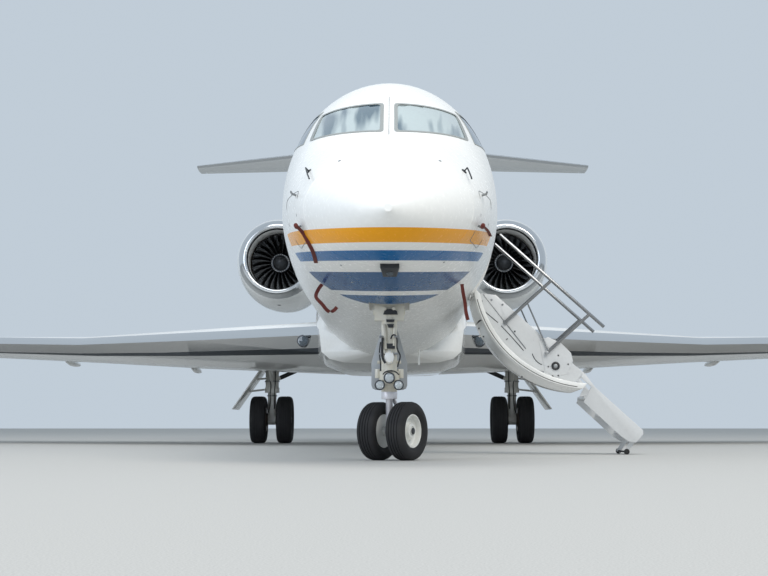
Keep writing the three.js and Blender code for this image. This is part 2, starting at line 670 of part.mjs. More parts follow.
// A tyre turned about X, its section a ring of [radius, distance] points.
function tyre({ radius, width, rim, sides }, x) {
  const wall = radius - rim;
  const half = width / 2;
  const side = [
    [rim + GAP, 0.7 * half], [rim + 0.35 * wall, half], [rim + 0.8 * wall, 0.9 * half], [radius, 0.5 * half],
  ];
  const profile = [...side, ...side.toReversed().map(([r, along]) => [r, -along])];
  return move(turned(profile, sides, 'x'), x, 0, 0);
}

// Two rims on one axle, which turns in the strut's boss.
function twinHub({ rim, width, offset, boss, axle, sides }) {
  const half = 0.36 * width;
  const inner = offset - boss - GAP;
  const profile = [
    [0, -half], [rim, -half], [rim, half], [0.8 * rim, 0.35 * half], [0, 0.35 * half],
  ];
  const disc = turned(profile.map(([r, along]) => [r, -along]), sides, 'x');
  const neck = rod([-inner, 0, 0], [0, 0, 0], axle * 1.5, 12);
  const wheel = move(join(disc, neck), offset, 0, 0);
  return join(wheel, wheel.mirror([1, 0, 0]), rod([-offset, 0, 0], [offset, 0, 0], axle, 12));
}

const axleBore = ({ boss, axle }) => rod([-boss - 50, 0, 0], [boss + 50, 0, 0], axle + 3, 12);

function addWheels(prefix, wheel, parent) {
  piece(`${prefix}_hub`, twinHub(wheel), POLISHED, parent);
  piece(`${prefix}_tyre_outer`, tyre(wheel, wheel.offset), RUBBER, parent);
  piece(`${prefix}_tyre_inner`, tyre(wheel, -wheel.offset), RUBBER, parent);
}

// Main gear: upright strut, side brace, drag brace, torque links and a door that hangs beside it.
const MAIN_LEG = {
  top: 1480, collar: 975, collarDrop: 60, collarRise: 30, collarWall: 12, cylinder: 122, piston: 78, boss: 92,
  braceTop: 1430,
};
const MAIN_LINKS = { halfWidth: 26, reach: 250, low: [640, 680], high: [920, 960], pin: 24 };
// A slanted door that hangs beside the strut. Places on it are given as x from the strut, and z.
const MAIN_DOOR = { thickness: 26, halfLength: 520, top: [120, 1372], bottom: [655, 610], stay: 14 };

// The strut's cylinder and its collar, grown by a gap where they cut another piece
function mainCylinder(x, y, grow) {
  const { top, collar, collarDrop, collarRise, collarWall, cylinder } = MAIN_LEG;
  const [low, high] = [collar - collarDrop, collar + collarRise];
  return join(
    rod([x, y, low], [x, y, top], cylinder + grow, ROUND),
    rod([x, y, low - grow], [x, y, high + grow], cylinder + collarWall + grow, ROUND),
  );
}

function mainStrut(x, y) {
  const { radius, boss } = MAIN_WHEEL;
  const { halfWidth, reach, low, high, pin } = MAIN_LINKS;
  return join(
    mainCylinder(x, y, 0),
    rod([x, y, radius], [x, y, MAIN_LEG.collar], MAIN_LEG.piston, ROUND),
    rod([x - boss, y, radius], [x + boss, y, radius], MAIN_LEG.boss, ROUND),
    rod([x, y, 1120], [x - 700, y - 60, MAIN_LEG.braceTop], 38),
    rod([x, y, 1080], [x, y - 760, MAIN_LEG.braceTop], 34),
    box([x - halfWidth, y, low[0]], [x + halfWidth, y + reach, low[1]]),
    box([x - halfWidth, y, high[0]], [x + halfWidth, y + reach, high[1]]),
    rod([x, y + reach - 10, low[0] + 20], [x, y + reach - 10, high[1] - 20], pin),
  );
}

function mainDoor(x, y) {
  const { thickness, halfLength, top, bottom, stay } = MAIN_DOOR;
  const panel = prism([
    [x + top[0], top[1]], [x + top[0] + thickness, top[1]],
    [x + bottom[0] + thickness, bottom[1]], [x + bottom[0], bottom[1]],
  ], 'y', y - halfLength, y + halfLength);
  const stays = [-150, 150].map((shift) => join(
    rod([x + 60, y + shift * 0.2, 1180], [x + 290, y + shift, 1160], stay),
    rod([x + 60, y + shift * 0.2, 980], [x + 430, y + shift, 940], stay),
  ));
  return join(panel, ...stays);
}

function buildMainGear(wing) {
  const y = yAt(MAIN_GEAR_STATION);
  const x = MAIN_GEAR_X;
  const wheel = MAIN_WHEEL;
  const over = join(wing, move(wing, 0, 0, -GAP), fairingForm(GAP));
  const leg = cut(mainStrut(x, y), over, move(axleBore(wheel), x, y, wheel.radius));
  const door = cut(mainDoor(x, y), over, mainCylinder(x, y, GAP));
  for (const [side, sign] of SIDES) {
    piece(`main_leg_${side}`, mirrored(leg, sign), STEEL);
    piece(`main_gear_door_${side}`, mirrored(door, sign), WHITE);
    addWheels(`main_${side}`, wheel, groupAt([sign * x, y, wheel.radius]));
  }
}

// Nose gear: fixed upper leg with lamps, and a steered lower leg that carries the axle's boss.
const NOSE_LEG = {
  radius: 70, top: 1330, bottom: 600, piston: 31, collar: 90, collarSpan: [700, 780], trunnion: 130, boss: 52,
};
// Lamps on the leg. Columns: x, z, radius.
const LAMPS = [[0, 718, 44], [-82, 655, 40], [82, 655, 40]];
const LAMP_REACH = { front: -150, back: -60 };
const NOSE_BRACE = { from: [0, 0, 940], to: [0, 330, 1420], radius: 32 };
// Half outline of the door behind the leg. Columns: x, z.
const NOSE_DOOR = [[62, 1190], [160, 860], [160, 660], [148, 632], [120, 620]];
const NOSE_DOOR_REACH = { front: 150, back: 172, links: [840, 650], linkRadius: 18, braceRoom: 8 };

function buildNoseGear() {
  const y = yAt(NOSE_GEAR_STATION);
  const { radius, top, bottom, piston, collar, collarSpan, trunnion } = NOSE_LEG;
  const [collarLow, collarHigh] = collarSpan;
  const braceFrom = [NOSE_BRACE.from[0], y + NOSE_BRACE.from[1], NOSE_BRACE.from[2]];
  const braceTo = [NOSE_BRACE.to[0], y + NOSE_BRACE.to[1], NOSE_BRACE.to[2]];
  const fixed = join(
    rod([0, y, bottom], [0, y, top], radius, ROUND),
    box([-trunnion, y - 60, 1225], [trunnion, y + 70, 1380]),
    box([-60, y - 50, 1370], [60, y + 60, NOSE_BAY.top - GAP]),
    rod([0, y, collarLow], [0, y, collarHigh], collar, ROUND),
    rod(braceFrom, braceTo, NOSE_BRACE.radius),
    box([-60, y + 290, 1400], [60, y + 370, NOSE_BAY.top - GAP]),
    ...LAMPS.map(([x, z, size]) => rod([x, y + LAMP_REACH.front, z], [x, y + LAMP_REACH.back, z], size, 12)),
    box([-110, y - 80, 635], [110, y - 20, 675]),
    box([-24, y - 100, 850], [24, y - 20, 950]),
  );
  piece('nose_leg', fixed, CREAM);
  const { front, back, links, linkRadius, braceRoom } = NOSE_DOOR_REACH;
  const outline = [...NOSE_DOOR, ...NOSE_DOOR.toReversed().map(([x, z]) => [-x, z])];
  const panel = prism(outline, 'y', y + front, y + back);
  const stays = links.map((z) => rod([0, y + radius - 10, z], [0, y + front + 5, z], linkRadius));
  const legForm = [
    rod([0, y, bottom - 1], [0, y, top], radius + GAP, ROUND),
    rod([0, y, collarLow - GAP], [0, y, collarHigh + GAP], collar + GAP, ROUND),
    rod(braceFrom, braceTo, NOSE_BRACE.radius + braceRoom),
  ];
  piece('nose_gear_door', cut(join(panel, ...stays), ...legForm), GREY);
  const steered = groupAt([0, y, NOSE_WHEEL.radius], [0, 0, STEER_AT_REST * DEGREE]);
  const { boss, trail } = NOSE_WHEEL;
  const columnTop = bottom - NOSE_WHEEL.radius - GAP;
  const column = join(
    rod([0, 0, 20], [0, 0, columnTop], piston, ROUND),
    rod([0, 0, 280], [0, 0, columnTop], radius, ROUND),
    rod([-boss, trail, 0], [boss, trail, 0], NOSE_LEG.boss, ROUND),
    rod([0, 0, 60], [0, trail, 0], piston, ROUND),
    rod([0, 40, 310], [0, 160, 200], 18),
    rod([0, 160, 200], [0, trail, 45], 18),
  );
  piece('nose_steering_column', cut(column, move(axleBore(NOSE_WHEEL), 0, trail, 0)), POLISHED, steered);
  addWheels('nose', NOSE_WHEEL, groupAt([0, trail, 0], [0, 0, 0], steered));
}

// Airstair. Places on the door are given as [along, inward]:
// along its chord from the hinge, and inward from it.
const STAIR = {
  open: 132, middle: 5500, stringer: [346, 376], extension: [300, 325],
  railPivot: [466, 0], extensionPivot: [1400, 100], wheelAxle: [2340.5, -161], wheel: 30, board: 30,
};
// Handrails. Ends are given as [along, inward], and out is their distance from the stair's middle.
const RAILS = {
  out: 400, rail: 18, post: 17, stay: 9, shaft: 12, collar: 24, top: [[-200, 660], [1280, 660]],
  upperPost: [536, 660], lowerPost: [[1006, 30], [1076, 660]], stayEnds: [[498, 310], [1011, 75]],
};
// Columns: along, inward.
const STEPS = [[330, -112], [640, -112], [950, -112], [1240, -112]];
const EXTENSION_STEPS = [[1700, 35], [1970, 35], [2250, 35]];
const STRINGER = [[70, -500], [70, 60], [200, 150], [1440, 150], [1440, -500]];
const EXTENSION_SIDE = [
  [1350, 70], [1350, 160], [1470, 160], [1640, 126], [2314, 122], [2344, 93], [2344, -28], [2279, -68],
  [2189, -81], [1650, -74], [1605, 102], [1470, 102], [1440, 70],
];
const EXTENSION_FOOT = [[2270, 90], [2325, 90], [2360, -170], [2318, -178]];
const doorPoint = ([along, inward], y) => [-inward, y, along];
const doorPlate = (outline, low, high) => (
  prism(outline.map(([along, inward]) => [-inward, along]), 'y', low, high)
);
const bothSides = (body) => join(body, body.mirror([0, 1, 0]));

// A level tread in the open stair, given by its middle on the door.
function tread([along, inward], depth, halfWidth) {
  const level = [Math.sin(STAIR.open * DEGREE), -Math.cos(STAIR.open * DEGREE)];
  const corner = (out, up) => [
    along + out * level[0] - up * level[1], inward + out * level[1] + up * level[0],
  ];
  const [half, thick] = [depth / 2, STAIR.board / 2];
  const outline = [corner(-half, -thick), corner(half, -thick), corner(half, thick), corner(-half, thick)];
  return doorPlate(outline, -halfWidth, halfWidth);
}

// The door's lower inner edge is cut back, because it rises past the floor's edge as the door opens.
function buildDoorSkin() {
  const shell = cut(fuselageForm(4900, 6100), cabinSpace());
  const lowerEdge = box([400, yAt(DOOR.front), DOOR.bottom], [DOOR.edgeX, yAt(DOOR.back), DOOR.edgeTop]);
  return cut(common(shell, doorTool(DOOR.gap)), hingeRoom(), lowerEdge);
}

function addStairBody(stair, toDoor) {
  const skin = join(move(buildDoorSkin(), ...toDoor), ...barrels(DOOR_BARRELS, BARREL.doorArm));
  piece('airstair_door', skin, WHITE, stair);
  const { stringer, railPivot } = STAIR;
  const plate = doorPlate(STRINGER, ...stringer);
  const treads = STEPS.map((place) => tread(place, 220, stringer[0] + 1));
  const shaftHole = rod(doorPoint(railPivot, -500), doorPoint(railPivot, 500), 16);
  const room = move(cabinSpace(GAP), ...toDoor);
  piece('airstair_steps', cut(common(join(bothSides(plate), ...treads), room), shaftHole), GREY, stair);
}

function addHandrails(stair) {
  const { railPivot, stringer } = STAIR;
  const bar = ([from, to], radius) => rod(doorPoint(from, RAILS.out), doorPoint(to, RAILS.out), radius);
  const rails = join(
    bothSides(join(
      bar(RAILS.top, RAILS.rail),
      bar([railPivot, RAILS.upperPost], RAILS.post),
      bar(RAILS.lowerPost, RAILS.post),
      bar(RAILS.stayEnds, RAILS.stay),
      rod(doorPoint(railPivot, stringer[1] + GAP), doorPoint(railPivot, RAILS.out), RAILS.collar),
    )),
    rod(doorPoint(railPivot, -RAILS.out), doorPoint(railPivot, RAILS.out), RAILS.shaft),
  );
  const railGroup = groupAt(doorPoint(railPivot, 0), [0, 0, 0], stair);
  piece('airstair_handrails', move(rails, railPivot[1], 0, -railPivot[0]), STEEL, railGroup);
}

function addExtension(stair) {
  const { stringer, extensionPivot, extension, wheelAxle } = STAIR;
  const side = doorPlate(EXTENSION_SIDE, ...extension);
  const foot = doorPlate(EXTENSION_FOOT, 250, 270);
  const bossEnds = [extension[1] - 5, stringer[0] - GAP].map((out) => doorPoint(extensionPivot, out));
  const boss = rod(...bossEnds, 30);
  const boards = EXTENSION_STEPS.map((place) => tread(place, 200, extension[0] + 1));
  const axleHole = rod(doorPoint(wheelAxle, -400), doorPoint(wheelAxle, 400), 13);
  const frame = cut(join(bothSides(join(side, foot, boss)), ...boards), axleHole);
  const extensionGroup = groupAt(doorPoint(extensionPivot, 0), [0, 0, 0], stair);
  const toPivot = [extensionPivot[1], 0, -extensionPivot[0]];
  piece('airstair_extension', move(frame, ...toPivot), GREY, extensionGroup);
  const rollers = join(
    rod([0, -240, 0], [0, 240, 0], 10),
    bothSides(rod([0, 270 + GAP, 0], [0, 296, 0], STAIR.wheel, ROUND)),
    bothSides(rod([0, 230, 0], [0, 280, 0], 10)),
  );
  const axlePlace = doorPoint(wheelAxle.map((value, axis) => value - extensionPivot[axis]), 0);
  const rollerGroup = groupAt(axlePlace, [0, 0, 0], extensionGroup);
  piece('airstair_rollers', rollers, RUBBER, rollerGroup);
}

function buildAirstair() {
  const hinge = [DOOR.hingeX, yAt(STAIR.middle), DOOR.hingeZ];
  const stair = groupAt(hinge, [0, STAIR.open * DEGREE, 0]);
  addStairBody(stair, hinge.map((value) => -value));
  addHandrails(stair);
  addExtension(stair);
}

buildFuselage();
buildCabin();
const wing = buildWings();
buildTail();
buildEngines();
buildMainGear(wing);
buildNoseGear();
buildAirstair();

export default aircraft;
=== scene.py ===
"""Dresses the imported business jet: smooth skins, glass, engines, gear, airstair and their finishes.

Metres, +Z up, nose towards -Y, the aircraft's left side towards +X. A station is a distance behind the nose tip.
"""
import json
import logging
import math
import sys
from collections.abc import Callable, Iterator, Sequence
from contextlib import contextmanager
from dataclasses import dataclass
from enum import Enum

import bmesh
import bpy
from mathutils import Matrix, Vector

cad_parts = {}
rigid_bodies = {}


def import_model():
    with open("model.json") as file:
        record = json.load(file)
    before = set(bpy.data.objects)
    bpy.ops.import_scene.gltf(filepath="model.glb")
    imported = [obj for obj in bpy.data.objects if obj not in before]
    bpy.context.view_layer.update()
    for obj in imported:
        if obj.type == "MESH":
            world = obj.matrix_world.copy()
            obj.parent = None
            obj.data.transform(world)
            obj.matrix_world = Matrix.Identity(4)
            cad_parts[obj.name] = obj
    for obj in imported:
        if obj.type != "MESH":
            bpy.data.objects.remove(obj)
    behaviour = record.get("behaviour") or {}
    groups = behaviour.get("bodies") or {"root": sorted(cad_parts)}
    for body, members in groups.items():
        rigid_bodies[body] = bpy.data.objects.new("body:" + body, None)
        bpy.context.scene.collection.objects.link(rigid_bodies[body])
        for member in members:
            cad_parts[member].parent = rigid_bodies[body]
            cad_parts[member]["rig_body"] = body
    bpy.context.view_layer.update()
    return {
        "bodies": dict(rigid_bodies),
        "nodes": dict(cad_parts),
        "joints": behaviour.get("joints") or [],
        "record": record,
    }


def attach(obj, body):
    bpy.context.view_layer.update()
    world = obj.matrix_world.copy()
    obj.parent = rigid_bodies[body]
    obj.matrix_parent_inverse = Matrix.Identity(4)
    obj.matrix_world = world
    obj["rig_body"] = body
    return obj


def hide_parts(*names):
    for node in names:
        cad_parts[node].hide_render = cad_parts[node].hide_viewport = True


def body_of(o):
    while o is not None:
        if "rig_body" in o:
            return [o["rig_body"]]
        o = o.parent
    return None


LOG = logging.getLogger("jet")
HALF_LENGTH = 14.7
SIDES: dict[str, int] = {"left": 1, "right": -1}
FRAME: dict = {}

Point = tuple[float, float, float]
Pairs = tuple[tuple[float, float], ...]
Object = bpy.types.Object
Socket = bpy.types.NodeSocket
Tree = bpy.types.NodeTree

# The airstair's hinge, across and up, and how far its door swings from shut to let down, in degrees.
STAIR_HINGE = (0.88, 1.716)
STAIR_ANGLE = 132.0
# The middle of the main wheels' axle on the left side.
MAIN_AXLE: Point = (2.185, 1.52, 0.425)
# The wing's leading edge: its root across, its station there, and how far it goes back for each metre outboard.
WING_ROOT = 0.85
WING_STATION = 11.56
WING_SWEEP = 0.591
# The wing's chord at the root, and what it loses for each metre outboard.
WING_CHORD = 5.856
WING_TAPER = 0.331


def y_at(station: float) -> float:
    """Gives the place along Y of a station behind the nose tip."""
    return station - HALF_LENGTH


def wing_at(x: float) -> tuple[float, float]:
    """Gives the station of the wing's leading edge and its chord at a distance from the middle."""
    out = x - WING_ROOT
    return WING_STATION + out * WING_SWEEP, WING_CHORD - out * WING_TAPER


# Selecting and editing


def pick(obj: Object) -> None:
    """Makes one object the only one that is selected, and the active one.

    Args:
        obj: The object to select.
    """
    clear_selection()
    obj.select_set(True)
    bpy.context.view_layer.objects.active = obj


@contextmanager
def editing(obj: Object) -> Iterator[None]:
    """Opens edit mode on one object, and closes it again.

    Args:
        obj: The mesh object to edit.

    Returns:
        Nothing: the body of the with statement runs in edit mode.
    """
    pick(obj)
    bpy.ops.object.mode_set(mode="EDIT")
    try:
        yield
    finally:
        bpy.ops.object.mode_set(mode="OBJECT")


def clear_selection() -> None:
    """Deselects every object, as each new primitive needs."""
    bpy.ops.object.select_all(action="DESELECT")


def select_mesh() -> None:
    """Selects the whole mesh that is in edit mode."""
    bpy.ops.mesh.select_all(action="SELECT")


def select_where(obj: Object, test: Callable[[bmesh.types.BMVert], bool]) -> None:
    """Selects the vertices that a test accepts, while obj is in edit mode.

    Args:
        obj: The mesh object in edit mode.
        test: Says whether a vertex is selected.
    """
    mesh = bmesh.from_edit_mesh(obj.data)
    for vertex in mesh.verts:
        vertex.select_set(test(vertex))
    mesh.select_flush_mode()
    bmesh.update_edit_mesh(obj.data)


def started(name: str) -> Object:
    """Names the primitive that was just added, and puts its place into its mesh.

    Args:
        name: The object's name.

    Returns:
        The object, with its origin at the world's.
    """
    obj = bpy.context.object
    obj.name = name
    bpy.ops.object.transform_apply(location=True, rotation=True, scale=True)
    return obj


def moved(obj: Object, matrix: Matrix) -> Object:
    """Moves a piece's mesh by a matrix, so that its object stays at the origin.

    Args:
        obj: The piece.
        matrix: The move, in world space.

    Returns:
        The same object.
    """
    obj.data.transform(matrix)
    obj.data.update()
    return obj


def duplicate(obj: Object, name: str, matrix: Matrix | None = None) -> Object:
    """Copies an object with a mesh of its own.

    Args:
        obj: The object to copy.
        name: The copy's name.
        matrix: Where the copy's mesh is moved, if anywhere.

    Returns:
        The copy.
    """
    pick(obj)
    bpy.ops.object.duplicate(linked=False)
    copy = bpy.context.object
    copy.name = name
    if matrix is not None:
        moved(copy, matrix)
        if matrix.determinant() < 0:
            outward(copy)
    return copy


def outward(obj: Object) -> Object:
    """Merges a mesh's doubles and points its faces outwards.

    Args:
        obj: The piece.

    Returns:
        The same object.
    """
    with editing(obj):
        select_mesh()
        bpy.ops.mesh.remove_doubles(threshold=1e-5)
        bpy.ops.mesh.normals_make_consistent(inside=False)
    return obj


def joined(parts: Sequence[Object], name: str) -> Object:
    """Joins several objects into one.

    Args:
        parts: The objects to join.
        name: The name of the result.

    Returns:
        The one object.
    """
    pick(parts[0])
    for part in parts:
        part.select_set(True)
    if len(parts) > 1:
        bpy.ops.object.join()
    parts[0].name = name
    return parts[0]


def modify(obj: Object, kind: str, **settings: object) -> Object:
    """Adds a modifier, sets it and applies it.

    Args:
        obj: The object to change.
        kind: The modifier's type.
        settings: The modifier's own settings.

    Returns:
        The same object.
    """
    pick(obj)
    modifier = obj.modifiers.new(kind.title(), kind)
    for key, value in settings.items():
        setattr(modifier, key, value)
    bpy.ops.object.modifier_apply(modifier=modifier.name)
    return obj


def bevelled(obj: Object, width: float, angle: float = 60.0, segments: int = 2) -> Object:
    """Bevels the edges where faces meet at more than an angle in degrees."""
    return modify(obj, "BEVEL", width=width, segments=segments, limit_method="ANGLE", angle_limit=math.radians(angle))


def boolean(obj: Object, tool: Object, operation: str) -> Object:
    """Cuts a mesh with another one, or keeps what both share, and deletes the other one.

    Args:
        obj: The object to change.
        tool: The other object.
        operation: DIFFERENCE or INTERSECT.

    Returns:
        The changed object.
    """
    modify(obj, "BOOLEAN", object=tool, operation=operation, solver="EXACT")
    bpy.data.objects.remove(tool, do_unlink=True)
    return obj


# Shapes


@dataclass(frozen=True)
class Ring:
    """One cross-section across Y: its place, half width, and reach up and down from its centre."""

    y: float
    width: float
    up: float
    down: float
    x: float = 0.0
    z: float = 0.0


def round_ring(y: float, radius: float, x: float = 0.0, z: float = 0.0) -> Ring:
    """Gives a circular cross-section."""
    return Ring(y, radius, radius, radius, x, z)


def place_ring(obj: Object, old: Ring, new: Ring) -> None:
    """Takes the selected ring of an open mesh from one cross-section to the next one.

    Args:
        obj: The mesh object in edit mode.
        old: The cross-section that the ring has.
        new: The cross-section that it gets.
    """
    bpy.ops.transform.translate(value=(new.x - old.x, new.y - old.y, new.z - old.z))
    centre = (new.x, new.y, new.z)
    up, down = new.up / old.up, new.down / old.down
    bpy.ops.transform.resize(value=(new.width / old.width, 1.0, up), center_override=centre)
    if abs(up - down) < 1e-9:
        return
    mesh = bmesh.from_edit_mesh(obj.data)
    ring = {vertex.index for vertex in mesh.verts if vertex.select}
    select_where(obj, lambda vertex: vertex.index in ring and vertex.co.z < new.z)
    bpy.ops.transform.resize(value=(1.0, 1.0, down / up), center_override=centre)
    select_where(obj, lambda vertex: vertex.index in ring)


def ring_stack(name: str, rings: Sequence[Ring], sides: int = 64, closed: bool = False) -> Object:
    """Extrudes a circle through cross-sections along Y.

    Args:
        name: The piece's name.
        rings: The cross-sections in order.
        sides: The points on each ring.
        closed: Whether the last ring meets the first one, as in a torus. Otherwise both ends are capped.

    Returns:
        The closed mesh.
    """
    clear_selection()
    bpy.ops.mesh.primitive_circle_add(vertices=sides, radius=1.0, fill_type="NOTHING", rotation=(math.pi / 2, 0, 0))
    obj = started(name)
    with editing(obj):
        bpy.ops.mesh.select_mode(type="VERT")
        select_mesh()
        last = round_ring(0.0, 1.0)
        for index, ring in enumerate(rings):
            if index:
                bpy.ops.mesh.extrude_edges_move()
            place_ring(obj, last, ring)
            last = ring
        total = len(bmesh.from_edit_mesh(obj.data).verts)
        if closed:
            select_where(obj, lambda vertex: vertex.index < sides or vertex.index >= total - sides)
            bpy.ops.mesh.bridge_edge_loops()
        else:
            bpy.ops.mesh.edge_face_add()
            select_where(obj, lambda vertex: vertex.index < sides)
            bpy.ops.mesh.edge_face_add()
        select_mesh()
        bpy.ops.mesh.normals_make_consistent(inside=False)
    return obj


def lathe(name: str, profile: Sequence[tuple[float, float]], sides: int = 48, closed: bool = True) -> Object:
    """Turns a profile about the Y axis.

    Args:
        name: The piece's name.
        profile: Radius and place along Y of each point.
        sides: The points on each ring.
        closed: Whether the profile is a loop.

    Returns:
        The closed mesh.
    """
    return ring_stack(name, [round_ring(y, radius) for radius, y in profile], sides, closed)


def prism(name: str, outline: Sequence[Point], push: Point) -> Object:
    """Makes a flat face of any outline, and extrudes it.

    Args:
        name: The piece's name.
        outline: The corners in order.
        push: The way that the face is extruded.

    Returns:
        The closed mesh.
    """
    clear_selection()
    bpy.ops.mesh.primitive_circle_add(vertices=len(outline), radius=1.0, fill_type="NGON")
    obj = started(name)
    with editing(obj):
        bpy.ops.mesh.select_mode(type="VERT")
        for index, corner in enumerate(outline):
            select_where(obj, lambda vertex: vertex.index == index)
            here = bmesh.from_edit_mesh(obj.data)
            here.verts.ensure_lookup_table()
            bpy.ops.transform.translate(value=Vector(corner) - here.verts[index].co)
        select_mesh()
        bpy.ops.mesh.extrude_region_move(TRANSFORM_OT_translate={"value": push})
        select_mesh()
        bpy.ops.mesh.normals_make_consistent(inside=False)
    return obj


def block(name: str, low: Point, high: Point, bevel: float = 0.0, segments: int = 2) -> Object:
    """Makes a box between two corners, with its edges bevelled.

    Args:
        name: The piece's name.
        low: The lowest corner.
        high: The highest corner.
        bevel: The bevel's width, or nothing for a sharp tool.
        segments: The bevel's segments.

    Returns:
        The closed mesh.
    """
    clear_selection()
    size = [b - a for a, b in zip(low, high)]
    middle = [(a + b) / 2 for a, b in zip(low, high)]
    bpy.ops.mesh.primitive_cube_add(size=1.0, location=middle, scale=size)
    obj = started(name)
    if bevel:
        with editing(obj):
            select_mesh()
            bpy.ops.mesh.bevel(offset=bevel, segments=segments, affect="EDGES")
    return obj


def rod(name: str, start: Point, end: Point, radius: float, sides: int = 24, bevel: float = 0.003) -> Object:
    """Makes a round bar between two points, with its ends bevelled.

    Args:
        name: The piece's name.
        start: One end.
        end: The other end.
        radius: The bar's radius.
        sides: The points round it.
        bevel: The bevel of its two ends.

    Returns:
        The closed mesh.
    """
    clear_selection()
    axis = Vector(end) - Vector(start)
    turn = axis.to_track_quat("Z", "Y").to_matrix().to_4x4()
    bpy.ops.mesh.primitive_cylinder_add(vertices=sides, radius=radius, depth=axis.length)
    obj = started(name)
    bevelled(obj, min(bevel, radius * 0.4, axis.length * 0.2))
    return moved(obj, Matrix.Translation((Vector(start) + Vector(end)) / 2) @ turn)


def tube(name: str, points: Sequence[Point], radius: float, smooth: bool = True, sides: int = 3) -> Object:
    """Makes a pipe, hose or cable along points.

    Args:
        name: The piece's name.
        points: The points that its middle line follows.
        radius: Its radius.
        smooth: Whether the line is a smooth curve between its ends.
        sides: The bevel resolution of its section.

    Returns:
        The closed mesh.
    """
    curve = bpy.data.curves.new(name, "CURVE")
    curve.dimensions = "3D"
    curve.bevel_depth = radius
    curve.bevel_resolution = sides
    curve.use_fill_caps = True
    curve.resolution_u = 6
    spline = curve.splines.new("NURBS" if smooth else "POLY")
    spline.points.add(len(points) - 1)
    for target, point in zip(spline.points, points):
        target.co = (*point, 1.0)
    if smooth:
        spline.order_u = min(4, len(points))
        spline.use_endpoint_u = True
    obj = bpy.data.objects.new(name, curve)
    bpy.context.scene.collection.objects.link(obj)
    pick(obj)
    bpy.ops.object.convert(target="MESH")
    return outward(bpy.context.object)


# Finishes


def linear(colour: str) -> tuple[float, float, float, float]:
    """Turns an sRGB hex colour into the linear one that a shader takes.

    Args:
        colour: The colour as # and six hex digits.

    Returns:
        Red, green, blue and alpha.
    """
    parts = [int(colour[i:i + 2], 16) / 255 for i in (1, 3, 5)]
    low = [part / 12.92 if part <= 0.04045 else ((part + 0.055) / 1.055) ** 2.4 for part in parts]
    return (low[0], low[1], low[2], 1.0)


def add_node(tree: Tree, kind: str, inputs: dict | None = None, **settings: object) -> bpy.types.Node:
    """Adds a node with its settings, and sets or links its inputs.

    Args:
        tree: The node tree.
        kind: The node's type.
        inputs: What each input takes, a value or another node's output.
        settings: The node's own settings.

    Returns:
        The node.
    """
    node = tree.nodes.new(kind)
    for key, value in settings.items():
        setattr(node, key, value)
    for key, value in (inputs or {}).items():
        if isinstance(value, Socket):
            tree.links.new(value, node.inputs[key])
        else:
            node.inputs[key].default_value = value
    return node


def calculated(tree: Tree, operation: str, first: object, second: object = 0.0) -> Socket:
    """Adds a node that calculates with one or two numbers, and gives its result."""
    return add_node(tree, "ShaderNodeMath", {0: first, 1: second}, operation=operation).outputs[0]


def blended(tree: Tree, share: object, first: object, second: str) -> Socket:
    """Adds a node that blends a colour into another one by a share, and gives its result."""
    return add_node(tree, "ShaderNodeMix", {"Factor": share, "A": first, "B": linear(second)},
                    data_type="RGBA").outputs["Result"]


class Pattern(Enum):
    """How a finish's surface was made."""

    SPRAYED = "sprayed"
    BRUSHED = "brushed"
    MOULDED = "moulded"
    GRAINED = "grained"
    WOVEN = "woven"


# Columns: noise size in metres, bump distance in metres, share of the colour that changes, stretch of the noise.
PATTERNS: dict[Pattern, tuple[float, float, float, Point]] = {
    # Orange peel is 2 to 4 mm wide on a sprayed skin, and drawn coarse so that it shows at all.
    Pattern.SPRAYED: (0.035, 0.0001, 0.04, (1, 1, 1)),
    Pattern.BRUSHED: (0.012, 0.0002, 0.12, (1, 1, 12)),
    Pattern.MOULDED: (0.006, 0.0006, 0.25, (1, 1, 1)),
    Pattern.GRAINED: (0.004, 0.0006, 0.2, (1, 1, 1)),
    Pattern.WOVEN: (0.003, 0.0005, 0.25, (1, 6, 1)),
}


